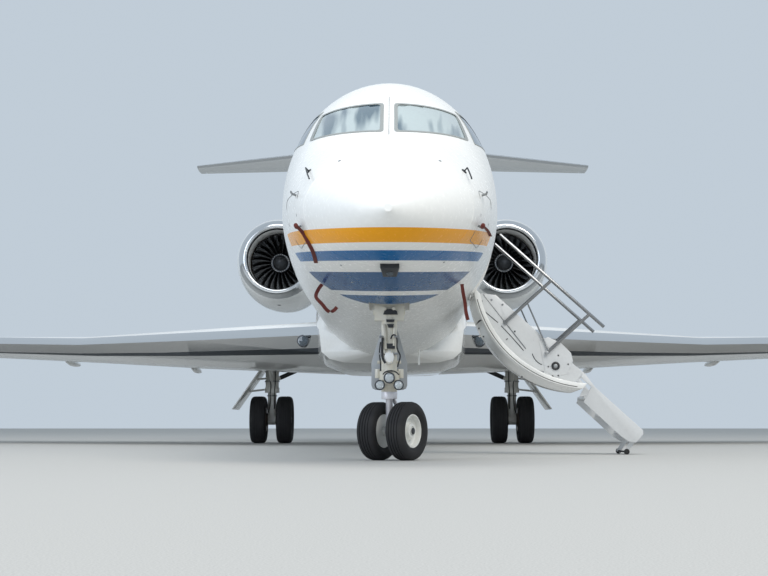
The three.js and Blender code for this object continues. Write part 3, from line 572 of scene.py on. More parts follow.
@dataclass(frozen=True)
class Finish:
    """A real surface: its colour, gloss and pattern."""

    name: str
    colour: str
    roughness: float
    pattern: Pattern = Pattern.SPRAYED
    metallic: float = 0.0
    coat: float = 0.0
    worn: str = "#6E6A64"
    wear: float = 0.0
    transmission: float = 0.0
    ior: float = 1.5
    glow: float = 0.0

    def material(self) -> bpy.types.Material:
        """Builds the finish's material once, and gives the same one again later."""
        known = bpy.data.materials.get(self.name)
        return known or self.build()

    def base(self, tree: Tree, place: Socket) -> Socket:
        """Gives the colour before the pattern changes it.

        Args:
            tree: The material's node tree.
            place: The point on the object.

        Returns:
            The colour's socket.
        """
        patch = add_node(tree, "ShaderNodeTexNoise", {"Vector": place, "Scale": 1.7, "Detail": 3.0})
        share = add_node(tree, "ShaderNodeMapRange", {"Value": patch.outputs["Fac"], "From Min": 0.62, "From Max": 0.8,
                                                      "To Max": self.wear})
        return blended(tree, share.outputs[0], linear(self.colour), self.worn)

    def build(self) -> bpy.types.Material:
        """Makes the material: colour that varies, roughness that varies and a fine bump.

        Returns:
            The material.
        """
        made = bpy.data.materials.new(self.name)
        made.use_nodes = True
        tree = made.node_tree
        tree.nodes.clear()
        size, height, change, stretch = PATTERNS[self.pattern]
        place = add_node(tree, "ShaderNodeTexCoord").outputs["Object"]
        spread = add_node(tree, "ShaderNodeMapping", {"Vector": place, "Scale": stretch}).outputs["Vector"]
        fine = add_node(tree, "ShaderNodeTexNoise", {"Vector": spread, "Scale": 1 / size, "Detail": 3.0}).outputs["Fac"]
        shade = add_node(tree, "ShaderNodeMapRange", {"Value": fine, "From Min": 0.3, "From Max": 0.7,
                                                      "To Min": 1 - change, "To Max": 1.0}).outputs[0]
        colour = add_node(tree, "ShaderNodeVectorMath", {0: self.base(tree, place), "Scale": shade},
                          operation="SCALE").outputs[0]
        rough = add_node(tree, "ShaderNodeMapRange", {"Value": fine, "To Min": self.roughness * 0.8,
                                                      "To Max": min(1.0, self.roughness * 1.2)}).outputs[0]
        bump = add_node(tree, "ShaderNodeBump", {"Height": fine, "Distance": height, "Strength": 0.5}).outputs["Normal"]
        shader = add_node(tree, "ShaderNodeBsdfPrincipled", {
            "Base Color": colour, "Roughness": rough, "Normal": bump, "Metallic": self.metallic,
            "Coat Weight": self.coat, "Coat Roughness": 0.04, "Transmission Weight": self.transmission,
        })
        if self.metallic < 0.5:
            shader.inputs["IOR"].default_value = self.ior
        if self.glow:
            shader.inputs["Emission Color"].default_value = linear(self.colour)
            shader.inputs["Emission Strength"].default_value = self.glow
        surface = self.surface(tree, place, shader)
        add_node(tree, "ShaderNodeOutputMaterial", {"Surface": surface})
        return made

    def surface(self, tree: Tree, place: Socket,
                shader: bpy.types.Node) -> Socket:
        """Gives the socket that the output takes."""
        return shader.outputs[0]


@dataclass(frozen=True)
class StripedPaint(Finish):
    """Sprayed polyurethane with gold and blue bands round the nose, which end at one ring behind it.

    A band lies between two sloping planes. Columns: lowest and highest plane, colour. A plane's number is its
    height at the nose tip, and it rises by slope for each metre behind it.
    """

    slope: float = 0.11
    end_station: float = 2.42
    bands: tuple[tuple[float, float, str], ...] = (
        (1.6125, 1.719, "#F2A51C"),
        (1.479, 1.555, "#0C639E"),
        (1.228, 1.390, "#004F82"),
        (1.105, 1.189, "#00568A"),
    )

    def base(self, tree: Tree, place: Socket) -> Socket:
        """Lays the bands over the plain paint.

        Args:
            tree: The material's node tree.
            place: The socket that gives the point in the object.

        Returns:
            The colour's socket.
        """
        axes = add_node(tree, "ShaderNodeSeparateXYZ", {"Vector": place})
        station = calculated(tree, "ADD", axes.outputs["Y"], HALF_LENGTH)
        plane = calculated(tree, "SUBTRACT", axes.outputs["Z"], calculated(tree, "MULTIPLY", station, self.slope))
        ahead = calculated(tree, "LESS_THAN", station, self.end_station)
        colour = Finish.base(self, tree, place)
        for low, high, band in self.bands:
            over = calculated(tree, "GREATER_THAN", plane, low)
            under = calculated(tree, "LESS_THAN", plane, high)
            inside = calculated(tree, "MULTIPLY", over, under)
            colour = blended(tree, calculated(tree, "MULTIPLY", inside, ahead), colour, band)
        return colour


@dataclass(frozen=True)
class EdgedPaint(Finish):
    """Sprayed paint whose leading edge is bare polished aluminium, behind a straight swept line.

    The line starts at root_x and root_station, and moves back by sweep for each metre outboard. On faces that look
    down, a dark band as wide as the lip runs behind the bare metal: painted shade, for the shadow and dark reflection
    under the edge.
    """

    root_x: float = WING_ROOT
    root_station: float = WING_STATION
    sweep: float = WING_SWEEP
    depth: float = 0.2
    # Width of the band of painted shade behind the bare metal, and the normal's height under which a face counts as
    # looking down.
    lip: float = 0.0
    facing_down: float = -0.5

    def surface(self, tree: Tree, place: Socket, shader: bpy.types.Node) -> Socket:
        """Mixes the paint with bare metal by the distance behind the leading edge, and with a band of painted shade
        below.

        Args:
            tree: The material's node tree.
            place: The socket that gives the point in the object.
            shader: The paint's shader node.

        Returns:
            The mixed shader's socket.
        """
        axes = add_node(tree, "ShaderNodeSeparateXYZ", {"Vector": place})
        line = calculated(tree, "MULTIPLY", calculated(tree, "ABSOLUTE", axes.outputs["X"]), self.sweep)
        behind = calculated(tree, "SUBTRACT", axes.outputs["Y"], line)
        end = y_at(self.root_station) - self.sweep * self.root_x + self.depth
        grain = add_node(tree, "ShaderNodeTexNoise", {"Vector": place, "Scale": 60.0}).outputs["Fac"]
        rough = add_node(tree, "ShaderNodeMapRange", {"Value": grain, "To Min": 0.07, "To Max": 0.13}).outputs[0]
        metal = add_node(tree, "ShaderNodeBsdfPrincipled", {"Base Color": linear("#D6D8DA"), "Metallic": 1.0,
                                                            "Roughness": rough})
        normal = add_node(tree, "ShaderNodeTexCoord").outputs["Normal"]
        facing = add_node(tree, "ShaderNodeSeparateXYZ", {"Vector": normal}).outputs["Z"]
        # Painted shade: faces that look down, just behind the bare metal, get a dark band.
        below = calculated(tree, "LESS_THAN", facing, self.facing_down)
        shade_band_mask = calculated(tree, "MULTIPLY", below, calculated(tree, "LESS_THAN", behind, end + self.lip))
        # The dark grey of the painted shade band, standing for the shadow under the leading edge.
        seal = add_node(tree, "ShaderNodeBsdfPrincipled", {"Base Color": linear("#3F454B"), "Roughness": 0.5})
        lower = add_node(tree, "ShaderNodeMixShader", {0: shade_band_mask, 1: shader.outputs[0], 2: seal.outputs[0]})
        bare = calculated(tree, "LESS_THAN", behind, end)
        return add_node(tree, "ShaderNodeMixShader", {0: bare, 1: lower.outputs[0], 2: metal.outputs[0]}).outputs[0]


@dataclass(frozen=True)
class PaintedReflectionGlass(Finish):
    """Coated glass whose colour is painted light: a pale painted reflection with soft upright dark streaks of painted
    shade.
    """

    def base(self, tree: Tree, place: Socket) -> Socket:
        """Mixes the pale colour of painted reflection with a dark one of painted shade in upright streaks.

        Args:
            tree: The material's node tree.
            place: The socket that gives the point in the object.

        Returns:
            The colour's socket.
        """
        spread = add_node(tree, "ShaderNodeMapping", {"Vector": place, "Scale": (1, 0.1, 0.12)}).outputs["Vector"]
        noise = add_node(tree, "ShaderNodeTexNoise", {"Vector": spread, "Scale": 7.0, "Detail": 2.0}).outputs["Fac"]
        share = add_node(tree, "ShaderNodeMapRange", {"Value": noise, "From Min": 0.5, "From Max": 0.64}).outputs[0]
        # The worn colour here is the dark of the painted shade streaks, not wear.
        return blended(tree, share, linear(self.colour), self.worn)


# Polyurethane paint, sprayed and clear-coated: a deep even gloss with faint orange peel. The hull's has the bands,
# and the wing's and the tailplane's leave the leading edge bare. The wing's also has a band of painted shade under the
# bare edge.
HULL_PAINT = StripedPaint("polyurethane_hull", "#F1F1EE", 0.26, coat=0.05, ior=1.25)
WHITE_PAINT = Finish("polyurethane_white", "#F3F3F0", 0.18, coat=0.7)
WING_PAINT = EdgedPaint("polyurethane_wing", "#ECEDEC", 0.2, coat=0.6, depth=0.26, lip=0.16)
TAIL_PAINT = EdgedPaint("polyurethane_tail", "#ECEDEC", 0.2, coat=0.6, root_x=0.0, root_station=25.48, sweep=0.5698,
                        depth=0.09)
# Epoxy paint of the nose gear's door: satin, and scuffed by stones.
DOOR_PAINT = Finish("epoxy_pale_grey", "#A9ADB0", 0.38, coat=0.15, wear=0.15)
# Gear enamel, baked on: an even white gloss, rubbed dull where hands and tools touch it.
WHITE_ENAMEL = Finish("enamel_white", "#E4E4DF", 0.3, coat=0.3, wear=0.15)
GEAR_PAINT = Finish("enamel_cream", "#D9D4C5", 0.34, coat=0.3, wear=0.2)
STAIR_PAINT = Finish("enamel_stair", "#D5D7D8", 0.3, coat=0.3, wear=0.12)
# Aluminium: rolled and mechanically polished to a near mirror with a fine haze, or cast and left dull.
POLISHED_ALUMINIUM = Finish("aluminium_polished", "#D9DBDD", 0.09, Pattern.BRUSHED, metallic=1.0)
CAST_ALUMINIUM = Finish("aluminium_cast", "#B9BBBC", 0.38, Pattern.BRUSHED, metallic=1.0)
# Steel: ground and plated on the shock struts, brushed on rails and fasteners, tinted by heat in the engines.
SATIN_STEEL = Finish("steel_satin", "#E2E1E6", 0.42, Pattern.BRUSHED, metallic=0.5)
STEEL = Finish("steel_brushed", "#9A9C9E", 0.32, Pattern.BRUSHED, metallic=1.0)
HOT_STEEL = Finish("steel_heat_tinted", "#6A5F57", 0.45, Pattern.BRUSHED, metallic=1.0)
# Titanium of the fan's blades and of lamp rings, forged and ground.
TITANIUM = Finish("titanium_blades", "#55585C", 0.3, Pattern.BRUSHED, metallic=1.0)
# Anodised alloy of the fan's spinner.
CORE_DARK = Finish("engine_dark", "#3B3E42", 0.5, Pattern.BRUSHED, metallic=0.8)
# Vulcanised rubber, moulded: dull, with a dusty bloom on the tyres.
TYRE_RUBBER = Finish("rubber_tyre", "#232325", 0.8, Pattern.MOULDED, worn="#4A4846", wear=0.6)
SEAL_RUBBER = Finish("rubber_seal", "#77797A", 0.6, Pattern.MOULDED)
SCREEN_SEAL = Finish("rubber_screen_seal", "#9DA19F", 0.55, Pattern.MOULDED)
HOSE_RUBBER = Finish("rubber_hose", "#26282A", 0.55, Pattern.MOULDED)
# Laminated cockpit glass: the windscreen's pale colour with dark upright streaks is painted reflection and painted
# shade; the side panes are blue-grey.
SCREEN_GLASS = PaintedReflectionGlass("glass_screen", "#C6D3D3", 0.03, coat=0.5, worn="#5C727E", transmission=0.15)
SIDE_GLASS = Finish("glass_side", "#4A637A", 0.08, coat=0.1, transmission=0.2, ior=1.3)
# Stretched acrylic of the cabin windows, tinted grey, which also covers the landing lamps and the chin's sensor.
CABIN_GLASS = Finish("acrylic_cabin", "#5F6D78", 0.05, coat=0.6, transmission=0.55, ior=1.49)
# A lamp's clear glass, and the silvered bowl behind it.
LAMP_GLASS = Finish("glass_lamp", "#EDF3F5", 0.06, transmission=0.5, ior=1.5)
LAMP_MIRROR = Finish("reflector_silvered", "#F2F2EE", 0.1, Pattern.BRUSHED, metallic=1.0)
# Seat leather, tanned and softly grained, and the cabin's cut wool carpet.
LEATHER = Finish("leather_seat", "#B39C7C", 0.55, Pattern.GRAINED)
CARPET = Finish("wool_carpet", "#8C8375", 0.95, Pattern.WOVEN)
# Dark moulded plastic of housings, trim and shells; its colour also paints the patches of shadow on the nose leg.
TRIM_DARK = Finish("polycarbonate_dark", "#2C2F33", 0.5, Pattern.MOULDED)
# Grit-faced tape on the treads, rubbed by shoes.
GRIP = Finish("grip_tape", "#3A3B3C", 0.9, Pattern.MOULDED, wear=0.3)
# Woven nylon of the ribbons and the probe covers, dyed red.
RIBBON = Finish("nylon_ribbon", "#6B2A22", 0.75, Pattern.WOVEN)
# Cured concrete of the studio floor, painted pale.
FLOOR = Finish("floor_concrete_pale", "#C2C1BD", 0.8, Pattern.MOULDED)
# Moulded coloured glass of the beacons, faintly lit.
BEACON_GLASS = Finish("glass_beacon", "#B8281C", 0.08, transmission=0.35, glow=0.1)


# Putting pieces into the frame


def settle(obj: Object, name: str, body: str, finish: Finish,
           replaces: Sequence[str] = (), angle: float = 32.0) -> Object:
    """Finishes a piece: name, smooth shading, material, body, and the nodes it stands for.

    Args:
        obj: The finished mesh, its place in its vertices.
        name: The piece's name.
        body: The CAD body that it rides on.
        finish: Its finish.
        replaces: The CAD nodes that it stands for.
        angle: Faces meeting at less than this many degrees look smooth.

    Returns:
        The piece.
    """
    pick(obj)
    obj.name = name
    bpy.ops.object.shade_smooth_by_angle(angle=math.radians(angle))
    obj.data.materials.clear()
    obj.data.materials.append(finish.material())
    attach(obj, body)
    if replaces:
        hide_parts(*replaces)
    LOG.info("%s: %d faces on %s", name, len(obj.data.polygons), body)
    return obj


def node_copy(node: str) -> Object:
    """Copies a CAD node's mesh into a new object, with its loose triangles merged.

    Args:
        node: The CAD node's name.

    Returns:
        The new object.
    """
    mesh = FRAME["nodes"][node].data.copy()
    obj = bpy.data.objects.new(f"{node}_copy", mesh)
    bpy.context.scene.collection.objects.link(obj)
    with editing(obj):
        select_mesh()
        bpy.ops.mesh.remove_doubles(threshold=2e-5)
        bpy.ops.mesh.dissolve_limited(angle_limit=math.radians(0.2))
    return obj


def dressed_node(node: str, finish: Finish, bevel: float = 0.0, angle: float = 35.0) -> Object:
    """Stands a merged, bevelled and smoothed copy in for a CAD node.

    Args:
        node: The CAD node.
        finish: Its finish.
        bevel: The width of its edges' bevel, or nothing.
        angle: Faces meeting at less than this many degrees look smooth.

    Returns:
        The piece.
    """
    body = body_of(FRAME["nodes"][node])[0]
    obj = node_copy(node)
    if bevel:
        modify(obj, "BEVEL", width=bevel, segments=2, limit_method="ANGLE", angle_limit=math.radians(50),
               use_clamp_overlap=True)
    return settle(obj, f"{node}_skin", body, finish, [node], angle)


# The fuselage


@dataclass(frozen=True)
class Section:
    """One row of the fuselage's sizes, in metres. Width is from the middle line out, at the height named middle."""

    station: float
    top: float
    bottom: float
    width: float
    middle: float

    def ring(self, grow: float = 0.0) -> Ring:
        """Gives the cross-section, grown by a distance."""
        up, down = self.top - self.middle + grow, self.middle - self.bottom + grow
        return Ring(y_at(self.station), self.width + grow, up, down, 0.0, self.middle)


@dataclass
class Fuselage:
    """The pressurised hull: one smooth skin with its glass, seals, grooves and the door that is cut from it."""

    end: float = 26.8
    # Stations between which the layers for glass, seals and the door's skin run.
    nose_span: tuple[float, float] = (1.4, 4.0)
    oval_span: tuple[float, float] = (7.0, 17.0)
    door_span: tuple[float, float] = (4.95, 6.05)
    wall: float = 0.06
    sides: int = 96
    # Columns: station, top, bottom, half width, height of the widest place.
    rows: tuple[tuple[float, float, float, float, float], ...] = (
        (0.0, 1.89, 1.83, 0.03, 1.86), (0.1, 2.03, 1.73, 0.22, 1.87), (0.25, 2.14, 1.64, 0.36, 1.885),
        (0.5, 2.27, 1.572, 0.52, 1.92), (0.9, 2.45, 1.508, 0.7, 1.99), (1.3, 2.61, 1.455, 0.8, 2.06),
        (1.6, 2.735, 1.42, 0.85, 2.11), (2.3, 3.14, 1.36, 0.925, 2.2), (2.85, 3.4, 1.337, 0.975, 2.29),
        (3.5, 3.6, 1.32, 1.03, 2.37), (4.2, 3.668, 1.311, 1.085, 2.43), (5.0, 3.69, 1.306, 1.13, 2.475),
        (6.0, 3.695, 1.305, 1.172, 2.495), (7.0, 3.695, 1.305, 1.195, 2.5), (18.5, 3.695, 1.305, 1.195, 2.5),
        (20.0, 3.698, 1.4, 1.15, 2.56), (22.0, 3.69, 1.7, 1.0, 2.72), (24.0, 3.64, 2.15, 0.76, 2.9),
        (25.5, 3.56, 2.56, 0.52, 3.06), (26.8, 3.44, 2.98, 0.24, 3.21),
    )
    grooves: tuple[float, ...] = (0.78, 4.7, 9.2, 13.4, 17.6, 21.0, 24.0)
    groove_depth: float = 0.004
    # The cabin's first and last station and its floor's height, and the doorway's stations, sill and top.
    cabin: tuple[float, float, float] = (1.45, 17.3, 1.66)
    door: tuple[float, float, float, float] = (5.05, 5.95, 1.716, 3.262)
    door_gap: float = 0.006
    # Corners: across and up for the windscreen, station and up for its limit and for the side pane.
    windscreen: Pairs = ((0.045, 2.745), (0.7, 2.775), (0.64, 3.145), (0.045, 3.14))
    screen_limit: Pairs = ((1.5, 2.6), (2.17, 2.7), (2.9, 3.19), (1.5, 3.19))
    side_pane: Pairs = ((2.4, 2.79), (3.72, 2.96), (3.42, 3.23), (3.03, 3.23))
    oval_first: float = 7.5
    oval_pitch: float = 1.45
    oval_count: int = 7
    oval_z: float = 2.76
    oval_half: tuple[float, float] = (0.33, 0.24)
    seal: float = 0.026

    def tangent(self, index: int, column: int) -> float:
        """Gives a smooth slope through one row, from its neighbours.

        Args:
            index: The row in the table of stations.
            column: The column in that row.

        Returns:
            The column's change for each metre of length.
        """
        rows = self.rows
        if index in (0, len(rows) - 1):
            near = 1 if index == 0 else len(rows) - 2
            return (rows[near][column] - rows[index][column]) / (rows[near][0] - rows[index][0])
        before, here, after = rows[index - 1], rows[index], rows[index + 1]
        left = (here[column] - before[column]) / (here[0] - before[0])
        right = (after[column] - here[column]) / (after[0] - here[0])
        if left * right <= 0:
            return 0.0
        share = (here[0] - before[0]) / (after[0] - before[0])
        return left * right / (share * left + (1 - share) * right)

    def at(self, station: float) -> Section:
        """Gives the smooth cross-section at a station.

        Args:
            station: The distance behind the nose tip.

        Returns:
            The cross-section.
        """
        rows = self.rows
        index = max(i for i, row in enumerate(rows[:-1]) if row[0] <= station + 1e-9)
        low, high = rows[index], rows[index + 1]
        span = high[0] - low[0]
        t = (station - low[0]) / span
        weights = (2 * t**3 - 3 * t**2 + 1, t**3 - 2 * t**2 + t, 3 * t**2 - 2 * t**3, t**3 - t**2)
        values = [
            weights[0] * low[column] + weights[1] * span * self.tangent(index, column)
            + weights[2] * high[column] + weights[3] * span * self.tangent(index + 1, column)
            for column in range(1, 5)
        ]
        return Section(station, *values)

    def stations(self, start: float, end: float) -> list[float]:
        """Lists the stations of rings between two ends, closer together at the nose.

        Args:
            start: The first ring's station, in metres behind the nose.
            end: The last ring's station.

        Returns:
            The stations from start to end.
        """
        steps = [0.0, 0.012, 0.03, 0.06, 0.1, 0.15, 0.2, 0.25, 0.32, 0.4]
        station = 0.5
        while station < self.end:
            steps.append(round(station, 4))
            station += 0.1 if station < 4.0 else 0.25 if station < 7.0 else 0.6
        inside = [step for step in steps if start + 0.01 < step < end - 0.01]
        return [start, *inside, end]

    def form(self, name: str, start: float, end: float, grow: float = 0.0,
             grooves: Sequence[float] = ()) -> Object:
        """Makes the hull's closed form between two stations.

        Args:
            name: The form's name.
            start: Its first station.
            end: Its last station.
            grow: How far it stands out from the skin.
            grooves: The stations of panel grooves round it.

        Returns:
            The closed mesh.
        """
        rings = {station: self.at(station).ring(grow) for station in self.stations(start, end)}
        for groove in grooves:
            for shift, depth in ((-0.005, 0.0), (-0.002, self.groove_depth), (0.002, self.groove_depth), (0.005, 0.0)):
                rings[groove + shift] = self.at(groove + shift).ring(grow - depth)
        return ring_stack(name, [rings[station] for station in sorted(rings)], self.sides)

    def layer(self, name: str, start: float, end: float, outer: float, inner: float) -> Object:
        """Makes a tube between two distances from the skin."""
        return boolean(self.form(name, start, end, outer), self.form("inner", start - 0.05, end + 0.05, inner),
                       "DIFFERENCE")

    def screen_tool(self, inset: float, side: int) -> Object:
        """Makes the tool that cuts one windscreen pane's opening.

        Args:
            inset: How far the outline is drawn in, in metres.
            side: 1 for left and -1 for right.

        Returns:
            The cutting tool.
        """
        front = prism("front_tool", [(x, y_at(1.4), z) for x, z in inset_outline(self.windscreen, inset)], (0, 1.7, 0))
        limit = prism("limit_tool", [(-0.1, y_at(s), z) for s, z in inset_outline(self.screen_limit, inset)],
                      (1.5, 0, 0))
        tool = rounded(boolean(front, limit, "INTERSECT"), 0.03)
        return tool if side > 0 else moved_mirror(tool)

    def pane_tool(self, inset: float, side: int) -> Object:
        """Makes the tool that cuts one side window's opening.

        Args:
            inset: How far the outline is drawn in, in metres.
            side: 1 for left and -1 for right.

        Returns:
            The cutting tool.
        """
        outline = [(0.4, y_at(s), z) for s, z in inset_outline(self.side_pane, inset)]
        tool = rounded(prism("pane_tool", outline, (0.9, 0, 0)), 0.03)
        return tool if side > 0 else moved_mirror(tool)

    def oval_tool(self, station: float, inset: float, side: int) -> Object:
        """Makes the tool that cuts one cabin window's opening.

        Args:
            station: The window's middle, in metres behind the nose.
            inset: How far the outline is drawn in, in metres.
            side: 1 for left and -1 for right.

        Returns:
            The cutting tool.
        """
        clear_selection()
        half = [value - inset for value in self.oval_half]
        bpy.ops.mesh.primitive_cylinder_add(vertices=40, radius=1.0, depth=0.5, rotation=(0, math.pi / 2, 0),
                                            location=(side * 1.1, y_at(station), self.oval_z))
        tool = started("oval_tool")
        with editing(tool):
            select_mesh()
            bpy.ops.transform.resize(value=(1, half[0], half[1]),
                                     center_override=(side * 1.1, y_at(station), self.oval_z))
        return tool

    def door_tool(self, inset: float) -> Object:
        """Makes the tool that cuts the doorway."""
        front, back, bottom, top = self.door
        return block("door_tool", (0.4, y_at(front + inset), bottom + inset), (1.4, y_at(back - inset), top - inset))

    def build(self) -> Object:
        """Builds the hull, its glass, its seals and its door.

        Returns:
            The hull's skin.
        """
        front, back, floor = self.cabin
        hull = self.form("hull_skin", 0.0, self.end, 0.0, self.grooves)
        air = self.form("cabin_air", front, back, -self.wall)
        boolean(air, block("under_floor", (-2, -20, 0), (2, 20, floor)), "DIFFERENCE")
        boolean(hull, air, "DIFFERENCE")
        boolean(hull, block("nose_bay", (-0.18, y_at(2.33), 1.2), (0.18, y_at(2.9), 1.6)), "DIFFERENCE")
        for side, sign in SIDES.items():
            self.cut_glass(hull, side, sign)
        boolean(hull, self.door_tool(0.0), "DIFFERENCE")
        nodes = ["radome", "fuselage_nose", "fuselage_cabin", "fuselage_rear", "tail_cone"]
        settle(hull, "hull_skin", "airframe", HULL_PAINT, nodes, 24.0)
        self.build_door()
        return hull

    def cut_glass(self, hull: Object, side: str, sign: int) -> None:
        """Cuts one side's window openings, and puts a seal and a pane into each.

        Args:
            hull: The hull's skin.
            side: The side's name.
            sign: Which way the side lies along X.
        """
        nose_seal = self.layer("nose_seal", *self.nose_span, 0.004, -0.03)
        nose_glass = self.layer("nose_glass", *self.nose_span, -0.002, -0.024)
        for name, tool, glass in (("windscreen", self.screen_tool, SCREEN_GLASS),
                                  ("side_window", self.pane_tool, SIDE_GLASS)):
            seal = boolean(duplicate(nose_seal, "seal"), tool(0.0, sign), "INTERSECT")
            boolean(seal, tool(self.seal, sign), "DIFFERENCE")
            settle(seal, f"{name}_{side}_seal", "airframe", SCREEN_SEAL)
            pane = boolean(duplicate(nose_glass, "pane"), tool(self.seal - 0.002, sign), "INTERSECT")
            settle(pane, f"{name}_{side}_pane", "airframe", glass, [f"{name}_{side}"])
            boolean(hull, tool(0.0, sign), "DIFFERENCE")
        bpy.data.objects.remove(nose_seal)
        bpy.data.objects.remove(nose_glass)
        self.cut_ovals(hull, side, sign)

    def cut_ovals(self, hull: Object, side: str, sign: int) -> None:
        """Cuts one side's cabin windows, with a seal ring and a pane in each.

        Args:
            hull: The hull's skin.
            side: The side's name.
            sign: 1 for left and -1 for right.
        """
        seal_layer = self.layer("oval_seal", *self.oval_span, 0.003, -0.05)
        glass_layer = self.layer("oval_glass", *self.oval_span, -0.006, -0.022)
        seals, panes = [], []
        for index in range(self.oval_count):
            station = self.oval_first + index * self.oval_pitch
            seal = boolean(duplicate(seal_layer, "seal"), self.oval_tool(station, 0.0, sign), "INTERSECT")
            boolean(seal, self.oval_tool(station, self.seal, sign), "DIFFERENCE")
            seals.append(seal)
            oval = self.oval_tool(station, self.seal - 0.002, sign)
            panes.append(boolean(duplicate(glass_layer, "pane"), oval, "INTERSECT"))
            boolean(hull, self.oval_tool(station, 0.0, sign), "DIFFERENCE")
        bpy.data.objects.remove(seal_layer)
        bpy.data.objects.remove(glass_layer)
        settle(joined(seals, "seals"), f"cabin_window_seals_{side}", "airframe", SEAL_RUBBER)
        settle(joined(panes, "panes"), f"cabin_window_panes_{side}", "airframe", CABIN_GLASS,
               [f"cabin_windows_{side}"])

    def build_door(self) -> None:
        """Cuts the door from the hull's form, and lets it down about the sill."""
        skin = self.layer("door_skin", *self.door_span, 0.0, -self.wall)
        boolean(skin, self.door_tool(self.door_gap), "INTERSECT")
        boolean(skin, block("edge_tool", (0.3, -12, 1.6), (0.836, -7, 1.79)), "DIFFERENCE")
        x, z = STAIR_HINGE
        turn = Matrix.Translation((x, 0, z))
        skin = moved(skin, turn @ Matrix.Rotation(math.radians(STAIR_ANGLE), 4, "Y") @ turn.inverted())
        bevelled(skin, 0.004, 50)
        middle = y_at((self.door[0] + self.door[1]) / 2)
        parts = [skin]
        for start in (-0.3, 0.2):
            near, far = middle + start, middle + start + 0.1
            parts.append(rod("barrel", (x, near, z), (x, far, z), 0.0135))
            parts.append(block("knuckle", (x - 0.006, near + 0.01, z - 0.03), (x + 0.014, far - 0.01, z + 0.006),
                               0.002))
        settle(joined(parts, "door"), "airstair_door_skin", "airstair", WHITE_PAINT, ["airstair_door"])


def inset_outline(outline: Sequence[tuple[float, float]], inset: float) -> list[tuple[float, float]]:
    """Moves a convex outline's corners towards its middle.

    Args:
        outline: The corners in order.
        inset: How far the edges move in, near enough.

    Returns:
        The smaller outline.
    """
    middle = [sum(corner[axis] for corner in outline) / len(outline) for axis in (0, 1)]
    result = []
    for corner in outline:
        reach = math.dist(corner, middle)
        scale = (reach - inset * 1.35) / reach
        result.append((middle[0] + (corner[0] - middle[0]) * scale, middle[1] + (corner[1] - middle[1]) * scale))
    return result


def rounded(obj: Object, radius: float) -> Object:
    """Rounds a cutting tool's edges, so that an opening has round corners."""
    return bevelled(obj, radius, 30, 4)


def moved_mirror(obj: Object) -> Object:
    """Turns a piece over to the other side of the aircraft."""
    moved(obj, Matrix.Scale(-1, 4, (1, 0, 0)))
    return outward(obj)


# Engines


